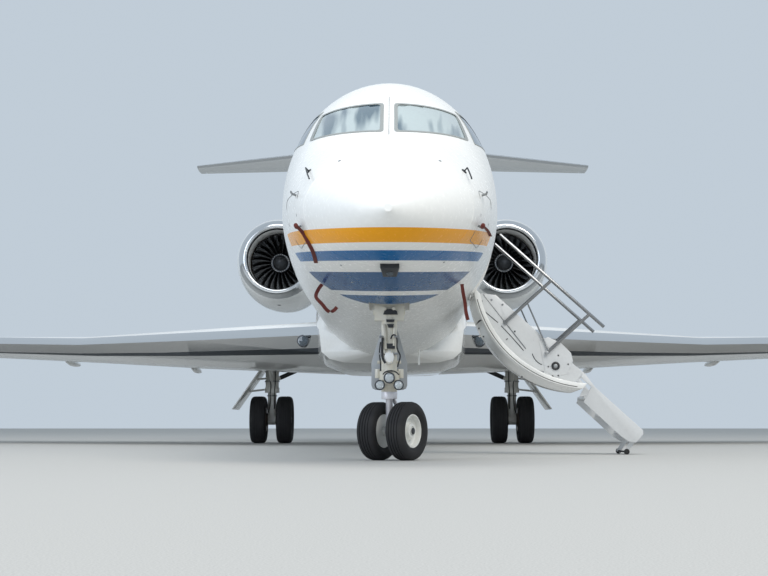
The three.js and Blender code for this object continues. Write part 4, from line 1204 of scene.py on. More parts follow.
@dataclass
class Nacelle:
    """One engine: polished lip, white cowl, fan with spinner, and what shows of the core.

    Each profile's columns are the radius and the distance behind the lip.
    """

    side: str
    sign: int
    place: Point = (2.31, 4.0, 3.67)
    sides: int = 96
    blades: int = 24
    blade_tip: float = 0.592
    blade_root: float = 0.165
    blade_middle: float = 0.89
    root_pitch: float = 28.0
    blade_twist: float = 34.0
    stud_circle: float = 0.178
    lip: Pairs = (
        (0.612, 0.2), (0.608, 0.12), (0.612, 0.07), (0.622, 0.032), (0.639, 0.008), (0.660, 0.0), (0.684, 0.006),
        (0.713, 0.026), (0.745, 0.066), (0.775, 0.12), (0.79, 0.16), (0.8, 0.198),
    )
    cowl: Pairs = (
        (0.8, 0.2003), (0.815, 0.24), (0.845, 0.36), (0.88, 0.6), (0.907, 0.88), (0.925, 1.2), (0.932, 1.45),
        (0.93, 1.75), (0.92, 2.15), (0.905, 2.45), (0.9, 2.455), (0.9, 2.465), (0.9, 2.47), (0.88, 2.8), (0.84, 3.2),
        (0.765, 3.8), (0.69, 4.25), (0.6, 4.7),
        (0.585, 4.7), (0.64, 4.25), (0.69, 3.8), (0.72, 3.2), (0.64, 2.6), (0.64, 1.1), (0.618, 0.8), (0.602, 0.5),
        (0.606, 0.3), (0.612, 0.2003),
    )
    spinner: Pairs = (
        (0.002, 0.56), (0.02, 0.563), (0.05, 0.58), (0.09, 0.62), (0.13, 0.68), (0.155, 0.74), (0.16, 0.8),
    )
    root_ring: Pairs = ((0.16, 0.801), (0.19, 0.812), (0.196, 0.86), (0.196, 0.96), (0.1, 0.96))

    def shift(self) -> Matrix:
        """Gives the move from the engine's own axis to its place."""
        x, y, z = self.place
        return Matrix.Translation((self.sign * x, y, z))

    def blade(self) -> Object:
        """Models one wide-chord blade: a thin section that twists from root to tip.

        Returns:
            The blade that points up, at its place behind the lip.
        """
        clear_selection()
        bpy.ops.mesh.primitive_circle_add(vertices=12, radius=1.0, fill_type="NGON")
        blade = started("fan_blade")
        steps, length = 7, self.blade_tip - self.blade_root
        with editing(blade):
            select_mesh()
            bpy.ops.transform.resize(value=(0.007, 0.062, 1), center_override=(0, 0, 0))
            bpy.ops.transform.translate(value=(0, 0, self.blade_root))
            for step in range(steps):
                here = self.blade_root + length * (step + 1) / steps
                bpy.ops.mesh.extrude_region_move(TRANSFORM_OT_translate={"value": (0, 0, length / steps)})
                bpy.ops.transform.resize(value=(0.93, 1.04, 1), center_override=(0, 0, here))
            select_mesh()
            bpy.ops.mesh.normals_make_consistent(inside=False)
        for vertex in blade.data.vertices:
            share = (vertex.co.z - self.blade_root) / length
            angle = math.radians(self.root_pitch + self.blade_twist * share)
            x, y = vertex.co.x, vertex.co.y - 0.02 * math.sin(math.pi * share)
            vertex.co.x = x * math.cos(angle) - y * math.sin(angle)
            vertex.co.y = x * math.sin(angle) + y * math.cos(angle) + self.blade_middle
        return blade

    def fan(self) -> Object:
        """Copies the blade round the hub.

        Returns:
            All blades as one object.
        """
        first = self.blade()
        turns = [Matrix.Rotation(2 * math.pi * index / self.blades, 4, "Y") for index in range(1, self.blades)]
        return joined([first, *(duplicate(first, "fan_blade", turn) for turn in turns)], "fan_blades")

    def studs(self) -> Object:
        """Sets a small stud in front of each blade's root.

        Returns:
            All studs as one object.
        """
        parts = []
        for step in range(self.blades):
            angle = 2 * math.pi * step / self.blades
            x, z = self.stud_circle * math.cos(angle), self.stud_circle * math.sin(angle)
            parts.append(rod("stud", (x, 0.802, z), (x, 0.793, z), 0.007, 6, 0.001))
        return joined(parts, "studs")

    def build(self) -> None:
        """Builds the engine's pieces."""
        side, body = self.side, f"fan_rotor_{self.side}"
        shift = self.shift()
        lip = moved(lathe("lip", self.lip, self.sides), shift)
        settle(lip, f"inlet_lip_{side}_skin", "airframe", POLISHED_ALUMINIUM,
               [f"inlet_lip_{side}"], 60)
        cowl = moved(lathe("cowl", self.cowl, self.sides), shift)
        settle(cowl, f"cowl_{side}_skin", "airframe", WHITE_PAINT, [f"cowl_{side}"], 28)
        settle(moved(self.fan(), shift), f"fan_{side}_blades", body, TITANIUM, [f"fan_{side}"], 45)
        spinner = moved(lathe("spinner", self.spinner, 48, closed=False), shift)
        settle(spinner, f"fan_{side}_spinner", body, CORE_DARK, (), 50)
        ring = moved(lathe("root_ring", self.root_ring, 48, closed=False), shift)
        settle(ring, f"fan_{side}_root_ring", body, TITANIUM, (), 40)
        settle(moved(self.studs(), shift), f"fan_{side}_ring_studs", body, CAST_ALUMINIUM)
        dressed_node(f"engine_core_{side}", HOT_STEEL, 0.0, 40)
        dressed_node(f"pylon_{side}", WHITE_PAINT, 0.0, 40)


# Wheels


@dataclass
class TwinWheels:
    """Two tyres on one hub, turned about the axle and set at their place.

    Offset is from the strut's middle to each tyre's middle, boss is half the strut's foot, axle is its radius, and
    steer turns the whole set about the strut, in degrees.
    """

    prefix: str
    body: str
    place: Point
    radius: float
    width: float
    rim: float
    offset: float
    axle: float
    boss: float
    steer: float = 0.0
    sides: int = 72
    bolt_count: int = 10
    # Columns: share of the wall from the rim out, share of half the width.
    flank: Pairs = ((0.0, 0.7), (0.12, 0.8), (0.3, 0.97), (0.45, 1.0), (0.62, 0.985), (0.78, 0.92), (0.88, 0.83),
                    (0.945, 0.72))
    # The tread's grooves: their middles and half their width, as shares of half the tyre's width.
    grooves: tuple[float, float] = (0.45, 0.15)
    groove_half: float = 0.035
    groove_depth: float = 0.007

    def shift(self, along: float = 0.0, flip: bool = False) -> Matrix:
        """Gives the move from the Y axis to the axle, with the outer face away from the strut.

        Args:
            along: How far out from the rim's middle the piece goes, in metres.
            flip: Whether this is the wheel on the other side of the strut.

        Returns:
            The move.
        """
        turn = Matrix.Rotation(math.radians(90 if flip else -90), 4, "Z")
        side = Matrix.Translation((-along if flip else along, 0, 0))
        return Matrix.Translation(self.place) @ Matrix.Rotation(math.radians(self.steer), 4, "Z") @ side @ turn

    def tyre_profile(self) -> list[tuple[float, float]]:
        """Gives a tyre's section: bead, bulged walls, and a tread with grooves.

        Returns:
            Radius and distance along the axle for each point.
        """
        half, wall = self.width / 2, self.radius - self.rim
        top, groove, width = self.radius, self.radius - self.groove_depth, self.groove_half
        side = [(self.rim + 0.0004 + share * (wall - 0.0004), half * out) for share, out in self.flank]
        tread = []
        for middle in self.grooves:
            tread += [(top, half * (middle + width + 0.01)), (groove, half * (middle + width)),
                      (groove, half * (middle - width)), (top, half * (middle - width - 0.01))]
        near = side + tread
        return near + [(radius, -along) for radius, along in reversed(near)]

    def rim_half(self) -> float:
        """Gives half the width of one rim."""
        return 0.36 * self.width

    def rim_profile(self) -> list[tuple[float, float]]:
        """Gives a rim's section from its inner face to the bearing cap on its outer face.

        Returns:
            Radius and distance along the axle for each point.
        """
        half, rim, axle = self.rim_half(), self.rim, self.axle
        return [
            (axle * 1.5, -half), (rim * 0.7, -half), (rim * 0.98, -half), (rim, -half * 0.94), (rim, half * 0.94),
            (rim * 0.985, half), (rim * 0.93, half), (rim * 0.9, half * 0.9), (rim * 0.86, half * 0.3),
            (rim * 0.72, half * 0.12), (rim * 0.55, half * 0.2), (rim * 0.47, half * 0.34), (rim * 0.43, half * 0.8),
            (rim * 0.4, half * 0.86), (rim * 0.3, half * 0.86), (rim * 0.28, half * 0.7), (rim * 0.24, half * 0.7),
            (rim * 0.22, half * 0.94), (0.004, half * 0.98),
        ]

    def bolts(self) -> list[Object]:
        """Models a rim's ring of tie bolts.

        Returns:
            The bolts, one object each.
        """
        half, count = self.rim_half(), self.bolt_count
        first = rod("bolt", (self.rim * 0.64, half * 0.05, 0), (self.rim * 0.64, half * 0.3, 0), self.rim * 0.045, 6)
        turns = [Matrix.Rotation(2 * math.pi * index / count, 4, "Y") for index in range(1, count)]
        return [first, *(duplicate(first, "bolt", turn) for turn in turns)]

    def build(self) -> None:
        """Builds both tyres and both rims with their axle."""
        rim = lathe("rim", self.rim_profile(), self.sides, closed=False)
        wheel = joined([rim, *self.bolts()], "rim")
        tyre = lathe("tyre", self.tyre_profile(), self.sides)
        rims = []
        for name, flip in (("outer", False), ("inner", True)):
            shift = self.shift(self.offset, flip)
            rims.append(duplicate(wheel, "rim", shift))
            settle(duplicate(tyre, "tyre", shift), f"{self.prefix}_tyre_{name}_skin", self.body, TYRE_RUBBER,
                   [f"{self.prefix}_tyre_{name}"], 38)
        for spare in (wheel, tyre):
            bpy.data.objects.remove(spare)
        settle(joined([*rims, *self.axle_parts()], "hub"), f"{self.prefix}_hub_skin", self.body, WHITE_ENAMEL,
               [f"{self.prefix}_hub"], 35)
        face = self.offset + self.rim_half() * 0.98
        caps = [moved(rod("cap", (0, way * (face - 0.02), 0), (0, way * (face + 0.004), 0), self.rim * 0.2, 32, 0.002),
                      self.shift()) for way in (-1, 1)]
        settle(joined(caps, "caps"), f"{self.prefix}_bearing_caps", self.body, TRIM_DARK)

    def axle_parts(self) -> list[Object]:
        """Models the axle, and the thicker neck from the strut's boss to each rim.

        Returns:
            The rods, one object each.
        """
        start = self.boss + 0.001
        parts = [rod("axle", (0, -self.offset, 0), (0, self.offset, 0), self.axle, 32)]
        for sign in (-1, 1):
            parts.append(rod("neck", (0, sign * start, 0), (0, sign * self.offset, 0), self.axle * 1.5, 32))
        return [moved(part, self.shift()) for part in parts]


# Nodes whose own shape is right


@dataclass(frozen=True)
class Dress:
    """How one CAD node is dressed."""

    node: str
    finish: Finish
    slot: str
    bevel: float = 0.0
    angle: float = 35.0


def plain_dress() -> None:
    """Dresses copies of the nodes that need no other shape."""
    rows = [
        Dress("belly_fairing", WHITE_PAINT, "white_composite", 0.0, 40),
        Dress("instrument_panel", TRIM_DARK, "panel_plastic", 0.01),
        Dress("fin", WHITE_PAINT, "white_composite"),
        Dress("rudder", WHITE_PAINT, "white_composite"),
        Dress("stabiliser", TAIL_PAINT, "white_composite"),
        Dress("nose_leg", GEAR_PAINT, "cream_metal", 0.004),
        Dress("nose_gear_door", DOOR_PAINT, "grey_metal", 0.004),
        Dress("nose_steering_column", SATIN_STEEL, "steel", 0.002),
        Dress("airstair_steps", STAIR_PAINT, "grey_metal", 0.003),
        Dress("airstair_handrails", STEEL, "steel", 0.002),
        Dress("airstair_extension", STAIR_PAINT, "grey_metal", 0.003),
        Dress("airstair_rollers", TYRE_RUBBER, "roller_rubber", 0.003),
    ]
    for side in SIDES:
        rows += [
            Dress(f"wing_{side}", WING_PAINT, "white_metal"),
            Dress(f"flap_{side}", WHITE_PAINT, "white_composite"),
            Dress(f"aileron_{side}", WHITE_PAINT, "white_composite"),
            Dress(f"elevator_{side}", WHITE_PAINT, "white_composite"),
            Dress(f"main_leg_{side}", WHITE_ENAMEL, "white_metal", 0.004),
            Dress(f"main_gear_door_{side}", WHITE_PAINT, "white_composite", 0.003),
        ]
    for row in rows:
        dressed_node(row.node, row.finish, row.bevel, row.angle)


# Places found by a pixel of the photograph


@dataclass(frozen=True)
class Sight:
    """Looks along a pixel of the 768 by 576 picture onto a piece."""

    camera: Point = (0.045, -25.0, 0.29)
    lens: float = 68.0
    sensor: float = 36.0
    pitch: float = 5.48
    yaw: float = 0.41
    size: tuple[int, int] = (768, 576)

    def ray(self, across: float, down: float) -> Vector:
        """Gives the direction that a pixel looks in.

        Args:
            across: The pixel's column in the photograph.
            down: The pixel's row.

        Returns:
            The direction, as a unit vector.
        """
        wide, high = self.size
        focal = self.lens / self.sensor * wide
        turn = Matrix.Rotation(math.radians(self.yaw), 3, "Z") @ Matrix.Rotation(math.radians(90 + self.pitch), 3, "X")
        return (turn @ Vector(((across - wide / 2) / focal, (high / 2 - down) / focal, -1.0))).normalized()

    def on(self, obj: Object, across: float, down: float) -> tuple[Vector, Vector]:
        """Finds where a pixel meets a piece.

        Args:
            obj: The piece, whose place is in its mesh.
            across: The pixel's column.
            down: The pixel's row.

        Returns:
            The point and the surface's normal there.
        """
        start = Vector(self.camera)
        found, point, normal, _ = obj.ray_cast(start, self.ray(across, down))
        if not found:
            raise ValueError(f"pixel {across}, {down} misses {obj.name}")
        return point, normal

    def at_depth(self, y: float, across: float, down: float) -> Vector:
        """Gives the point where a pixel's ray meets the plane across Y at y."""
        way = self.ray(across, down)
        return Vector(self.camera) + way * ((y - self.camera[1]) / way.y)


SIGHT = Sight()


@dataclass
class Ribbon:
    """One plain nylon ribbon: a narrow sheet that hangs along its path."""

    name: str
    path: Sequence[Vector]
    rests_on: str
    width: float = 0.032
    thickness: float = 0.0012

    def build(self) -> None:
        steps = 24
        points = [curve_point(self.path, index / steps) for index in range(steps + 1)]
        clear_selection()
        bpy.ops.mesh.primitive_grid_add(x_subdivisions=2, y_subdivisions=steps, size=1.0)
        ribbon = started(self.name)
        for vertex in ribbon.data.vertices:
            index = round((vertex.co.y + 0.5) * steps)
            along = points[min(index + 1, steps)] - points[max(index - 1, 0)]
            twist = math.radians(14) * math.sin(index * 0.5)
            flat = Vector((math.cos(twist), math.sin(twist), 0.0))
            across = (flat - along.normalized() * flat.dot(along.normalized())).normalized()
            vertex.co = points[index] + across * self.width * vertex.co.x
        modify(ribbon, "SOLIDIFY", thickness=self.thickness, offset=0.0)
        settle(ribbon, self.name, "airframe", RIBBON, (), 60)


def curve_point(points: Sequence[Vector], share: float) -> Vector:
    """Gives a point of a smooth line through points.

    Args:
        points: The points that the line goes through.
        share: How far along it, from 0 to 1.

    Returns:
        The point.
    """
    place = share * (len(points) - 1)
    index = min(int(place), len(points) - 2)
    t = place - index
    before = points[max(index - 1, 0)]
    after = points[min(index + 2, len(points) - 1)]
    a, b = points[index], points[index + 1]
    return 0.5 * ((2 * a) + (b - before) * t + (2 * before - 5 * a + 4 * b - after) * t * t
                  + (3 * a - before - 3 * b + after) * t * t * t)


@dataclass
class NoseFittings:
    """Probes, vanes, covers and ribbons on the nose, and the dark housing under its chin.

    Left and right in their names are the photograph's own, with the aircraft's right side on its left. All places
    are in the photograph's pixels.
    """

    hull: Object
    # Columns: name, base, blade's tip, way that the blade bends.
    vanes: tuple[tuple[str, tuple[float, float], tuple[float, float], int], ...] = (
        ("angle_vane_left", (309, 171.5), (313, 182), -1), ("angle_vane_right", (464, 171.5), (468, 182), 1),
    )
    probes: tuple[tuple[str, float, float], ...] = (("probe_left_upper", 296, 195.5), ("probe_right_upper", 482, 195.5))
    ports: tuple[tuple[str, float, float], ...] = (("port_left", 339.5, 161), ("port_right", 440, 161))
    drains: Pairs = ((341, 265), (444, 262), (352, 282), (430, 283))

    def out(self, across: float, down: float, distance: float) -> Vector:
        """Gives a point off the hull, over a pixel."""
        point, normal = SIGHT.on(self.hull, across, down)
        return point + normal * distance

    def stud(self, name: str, across: float, down: float, radius: float, height: float, finish: Finish) -> None:
        """Sets a small round fitting flush on the hull."""
        made = rod(name, self.out(across, down, -0.01), self.out(across, down, height), radius, 20)
        settle(made, name, "airframe", finish)

    def vane(self, name: str, root: tuple[float, float], tip: tuple[float, float], sign: int) -> None:
        """Puts a turning vane on a round base: a flat blade swept back in the airflow.

        Args:
            name: The piece's name.
            root: The base's middle, in the photograph's pixels.
            tip: The blade's tip, in the photograph's pixels.
            sign: 1 where the blade bends towards +X and -1 towards -X.
        """
        base = rod("base", self.out(*root, -0.01), self.out(*root, 0.008), 0.024, 24)
        stem_end = self.out(*root, 0.04)
        stem = rod("stem", self.out(*root, 0.0), stem_end, 0.006, 12)
        end = self.out(*tip, 0.04)
        blade = tube("blade", [stem_end, stem_end.lerp(end, 0.5) + Vector((sign * 0.004, 0, 0)), end], 0.006)
        settle(joined([base, stem, blade], name), name, "airframe", TRIM_DARK)

    def probe(self, name: str, across: float, down: float, cover: bool = False) -> Vector:
        """Puts an air data probe on the hull: a streamlined mast with a forward tube, and its cover.

        Args:
            name: The piece's name.
            across: The pixel's column.
            down: The pixel's row.
            cover: Whether the tube wears a cloth cover.

        Returns:
            The tube's tip.
        """
        foot, top = self.out(across, down, -0.01), self.out(across, down, 0.035)
        mast = tube("mast", [foot, foot.lerp(top, 0.6), top + Vector((0, -0.02, 0))], 0.009)
        tip = top + Vector((0, -0.12, 0))
        pipe = rod("pipe", top + Vector((0, 0.01, 0)), tip, 0.008, 20)
        settle(joined([mast, pipe], name), name, "airframe", STEEL)
        if cover:
            sleeve = rod("sleeve", tip + Vector((0, 0.09, 0)), tip + Vector((0, -0.02, 0)), 0.017, 24, 0.008)
            settle(sleeve, f"{name}_cover", "airframe", RIBBON)
        return tip

    def ribbons(self) -> None:
        """Hangs the four ribbons that the photograph shows."""
        left = self.probe("probe_left_lower", 301, 226, True)
        path = [left] + [self.out(x, y, 0.012) for x, y in ((304, 232), (309, 241), (314, 251), (317, 262))]
        Ribbon("ribbon_left_upper", path, "probe_left_lower_cover").build()
        right = self.probe("probe_right_lower", 478, 226, True)
        path = [right] + [self.out(x, y, 0.012) for x, y in ((482, 226), (486, 230), (489, 236))]
        Ribbon("ribbon_right_upper", path, "probe_right_lower_cover").build()
        pin = self.out(323, 283, 0.012)
        path = [pin] + [SIGHT.at_depth(pin.y + shift, a, b) for shift, a, b in (
            (-0.02, 318, 290), (-0.03, 316, 297), (-0.02, 322, 304), (0.0, 328, 311), (0.01, 333, 311),
            (0.0, 337, 307))]
        Ribbon("ribbon_left_lower", path, "hull_skin").build()
        pin = self.out(461, 283, 0.012)
        path = [pin] + [SIGHT.at_depth(pin.y + shift, a, b) for shift, a, b in (
            (-0.01, 463, 292), (0.0, 465, 303), (0.01, 466, 312), (0.01, 468, 320))]
        Ribbon("ribbon_right_lower", path, "hull_skin").build()

    def chin(self) -> None:
        """Builds the dark tapered housing under the chin, with a recessed window."""
        top_left, top_right = self.out(380, 263.5, 0.0), self.out(399.5, 263.5, 0.0)
        low_left, low_right = self.out(383, 272.5, 0.0), self.out(397, 272.5, 0.0)
        outline = [top_left, top_right, low_right, low_left]
        drop = Vector((0, -0.02, -0.035))
        shell = prism("chin", [tuple(corner - drop * 0.5) for corner in outline], tuple(drop * 1.6))
        bevelled(shell, 0.008, 40, 3)
        settle(shell, "chin_sensor_housing", "airframe", TRIM_DARK)
        middle = sum(outline, Vector()) / 4 + drop * 1.1
        lens = rod("lens", middle + Vector((0, 0.012, 0.012)), middle + Vector((0, -0.006, -0.006)), 0.028, 32)
        settle(lens, "chin_sensor_window", "airframe", CABIN_GLASS)

    def build(self) -> None:
        """Builds all the nose's fittings."""
        for vane in self.vanes:
            self.vane(*vane)
        for probe in self.probes:
            self.probe(*probe)
        for name, x, y in self.ports:
            self.stud(f"static_{name}", x, y, 0.012, 0.004, STEEL)
        for index, (x, y) in enumerate(self.drains):
            self.stud(f"nose_drain_{index}", x, y, 0.009, 0.006, STEEL)
        self.ribbons()
        self.chin()


@dataclass
class Seams:
    """Lines of dark sealant round the panels and doors of the hull, half sunk in its skin."""

    hull: Object
    radius: float = 0.003
    # Columns: name, first and last station, lowest and highest height.
    both_sides: tuple[tuple[str, float, float, float, float], ...] = (
        ("seam_nose_bay", 1.0, 1.55, 1.75, 2.15), ("seam_emergency_exit", 14.3, 15.2, 2.4, 3.12),
        ("seam_wing_service", 10.0, 10.5, 2.0, 2.3),
    )
    # Columns: name, side, first and last station, lowest and highest height.
    one_side: tuple[tuple[str, int, float, float, float, float], ...] = (
        ("seam_baggage_door", 1, 18.2, 19.1, 2.5, 3.35), ("seam_tail_service", -1, 21.6, 22.3, 2.45, 2.9),
        ("seam_galley_service", -1, 5.4, 5.9, 2.0, 2.35),
    )

    def project(self, side: int, station: float, z: float) -> Vector:
        """Finds the hull's skin straight in from one side.

        Args:
            side: 1 for left and -1 for right.
            station: The distance behind the nose, in metres.
            z: The height.

        Returns:
            The point on the skin.
        """
        found, point, _, _ = self.hull.ray_cast(Vector((side * 4.0, y_at(station), z)), Vector((-side, 0, 0)))
        if not found:
            raise ValueError(f"no skin at station {station}, height {z}")
        return point

    def loop(self, name: str, side: int, front: float, back: float, low: float, high: float) -> None:
        """Draws a rounded panel's outline on one side.

        Args:
            name: The piece's name.
            side: Which way the side lies along X.
            front: The panel's first station.
            back: Its last station.
            low: Its lowest height.
            high: Its highest height.
        """
        corner = min(0.06, (back - front) / 4, (high - low) / 4)
        outline = []
        for x, z, start in ((back - corner, high - corner, 0), (front + corner, high - corner, 90),
                            (front + corner, low + corner, 180), (back - corner, low + corner, 270)):
            for step in range(5):
                angle = math.radians(start + step * 22.5)
                outline.append((x + corner * math.cos(angle), z + corner * math.sin(angle)))
        points = []
        for first, second in zip(outline, outline[1:] + outline[:1]):
            count = max(1, round(math.dist(first, second) / 0.12))
            for step in range(count):
                share = step / count
                points.append(tuple(self.project(side, first[0] + (second[0] - first[0]) * share,
                                                 first[1] + (second[1] - first[1]) * share)))
        settle(tube(name, points + points[:2], self.radius, smooth=False, sides=1), name, "airframe", SEAL_RUBBER,
               (), 60)

    def post(self) -> None:
        """Draws the fine seam down the middle of the windscreen's post."""
        points = []
        for step in range(13):
            found, point, _, _ = self.hull.ray_cast(Vector((0.0, -20.0, 2.7 + step * 0.045)), Vector((0, 1, 0)))
            if found:
                points.append(tuple(point))
        settle(tube("windscreen_post_seam", points, 0.0025, smooth=False, sides=1), "windscreen_post_seam", "airframe",
               SEAL_RUBBER, (), 60)

    def build(self) -> None:
        """Draws every panel's outline."""
        self.post()
        for side, sign in SIDES.items():
            for name, *edges in self.both_sides:
                self.loop(f"{name}_{side}", sign, *edges)
        for row in self.one_side:
            self.loop(*row)


# Landing gear details


@dataclass(frozen=True)
class Bar:
    """A round part between two points."""

    start: Point
    end: Point
    radius: float


@dataclass
class NoseLeg:
    """What hangs on the nose leg: lamps, clipped pipes, an oval boss, actuators and fasteners."""

    y: float = -12.2
    # Columns: across, height, radius.
    lamps: tuple[Point, ...] = ((0.0, 0.718, 0.044), (-0.082, 0.655, 0.04), (0.082, 0.655, 0.04))
    lamp_front: float = -12.35
    # Columns: name, radius, distance from the leg's middle, pixels that it passes.
    hoses: tuple[tuple[str, float, float, Pairs], ...] = (
        ("a", 0.011, -0.1, ((382.7, 338), (381.9, 346), (382.0, 353.6), (382.8, 360), (385.5, 363))),
        ("b", 0.007, -0.1, ((390.8, 339), (391.6, 335.4), (394.2, 334.2), (396.6, 336.4), (397.2, 342), (396.5, 349),
                            (400.2, 354), (400.4, 358), (398.3, 363), (397.6, 367))),
        ("c", 0.006, -0.09, ((380.6, 342), (379.2, 350), (379.6, 358), (381.0, 365), (380.4, 371))),
        ("d", 0.006, -0.1, ((383, 374.5), (385, 371.5), (390.7, 370), (396.5, 371.5), (399, 375))),
    )
    # Outlines of dark patches on the leg's front: the first three are painted shadow under the bracket and between its
    # arms, the last is the dark harness.
    shadow_and_harness_patches: tuple[Pairs, ...] = (
        ((383.2, 314.4), (384.2, 311.2), (387, 309.4), (390.5, 308.9), (394, 309.4), (397, 311.2), (397.8, 314.4)),
        ((386, 319.4), (394.6, 319.4), (394, 322), (386.6, 322)),
        ((387, 324), (394, 324), (392.8, 327.6), (388.4, 327.6)),
        ((386.5, 343.6), (395, 343.6), (395, 348.6), (386.5, 348.6)),
    )

    def lamp(self, index: int, x: float, z: float, radius: float) -> None:
        """Builds one taxi lamp: a bezel, a silvered bowl and a domed glass.

        Args:
            index: Its number.
            x: Its place across.
            z: Its height.
            radius: Its radius.
        """
        bezel = lathe("bezel", [(radius * 1.02, 0.03), (radius * 1.12, 0.026), (radius * 1.14, -0.004),
                                (radius * 1.06, -0.012), (radius * 0.9, -0.012), (radius * 0.88, -0.001),
                                (radius * 0.9, 0.0)], 40)
        place = Matrix.Translation((x, self.lamp_front, z))
        settle(moved(bezel, place), f"nose_lamp_{index}_bezel", "airframe", TITANIUM)
        bowl = lathe("bowl", [(0.004, -0.0004), (radius * 0.5, -0.0008), (radius * 0.87, -0.0012)], 40, closed=False)
        settle(moved(bowl, place), f"nose_lamp_{index}_bowl", "airframe", LAMP_MIRROR)
        dome = lathe("dome", [(radius * 0.88, -0.003), (radius * 0.88, -0.009), (radius * 0.7, -0.016),
                              (radius * 0.4, -0.021), (0.003, -0.023)], 40, closed=False)
        settle(moved(dome, place), f"nose_lamp_{index}_glass", "airframe", LAMP_GLASS)

    def pipes(self) -> None:
        """Runs the clipped hydraulic hoses and cables down the leg, and lays dark patches on its front: painted shadow
        under the bracket and between its arms, and the dark harness.
        """
        for key, radius, shift, pixels in self.hoses:
            points = [SIGHT.at_depth(self.y + shift, *pixel) for pixel in pixels]
            settle(tube(f"nose_pipe_{key}", points, radius), f"nose_pipe_{key}", "airframe", HOSE_RUBBER,
                   (), 60)
        clips = [(x, z) for z in (1.08, 0.93) for x in (-0.072, 0.062)]
        parts = [block("clip", (x - 0.016, self.y - 0.108, z - 0.009), (x + 0.016, self.y - 0.04, z + 0.009), 0.003)
                 for x, z in clips]
        settle(joined(parts, "clips"), "nose_pipe_clips", "airframe", STEEL)
        # Dark sheets: painted shadow on the leg, except the last, which is the dark harness.
        shadow_and_harness_patches = [prism("dark_patch", [tuple(SIGHT.at_depth(self.y - 0.082, *pixel)) for pixel in pixels], (0, 0.03, 0))
                    for pixels in self.shadow_and_harness_patches]
        settle(joined(shadow_and_harness_patches, "shadow_and_harness_patches"), "nose_leg_shadows_and_harness", "airframe", TRIM_DARK)

    def fittings(self) -> None:
        """Builds the oval boss, the steering actuators, the bolts and the lower links."""
        boss = lathe("boss", [(0.052, 0.02), (0.052, 0.0), (0.046, -0.012), (0.03, -0.018), (0.003, -0.02)], 40,
                     closed=False)
        with editing(boss):
            select_mesh()
            bpy.ops.transform.resize(value=(0.85, 1, 1.17), center_override=(0, 0, 0))
        boss = moved(boss, Matrix.Translation((0, self.y - 0.085, 0.9)))
        settle(boss, "nose_leg_boss", "airframe", WHITE_PAINT)
        bars = [
            Bar((-0.125, 0.02, 0.76), (0.125, 0.02, 0.76), 0.022), Bar((-0.1, 0.0, 0.8), (-0.1, 0.0, 0.72), 0.026),
            Bar((0.1, 0.0, 0.8), (0.1, 0.0, 0.72), 0.026), Bar((-0.14, 0.0, 1.31), (0.14, 0.0, 1.31), 0.034),
            Bar((-0.04, -0.085, 1.33), (-0.04, -0.05, 1.33), 0.016),
            Bar((0.04, -0.085, 1.33), (0.04, -0.05, 1.33), 0.016),
            Bar((-0.05, -0.065, 1.19), (-0.035, -0.07, 0.97), 0.02),
            Bar((0.05, -0.065, 1.17), (0.04, -0.07, 1.0), 0.015),
            Bar((-0.105, -0.02, 0.86), (0.105, -0.02, 0.86), 0.014),
        ]
        parts = [rod("bar", tuple(a + b for a, b in zip(bar.start, (0, self.y, 0))),
                     tuple(a + b for a, b in zip(bar.end, (0, self.y, 0))), bar.radius) for bar in bars]
        settle(joined(parts, "fittings"), "nose_leg_fittings", "airframe", GEAR_PAINT)

    def build(self) -> None:
        """Builds the nose leg's details."""
        for index, (x, z, radius) in enumerate(self.lamps):
            self.lamp(index, x, z, radius)
        self.pipes()
        self.fittings()


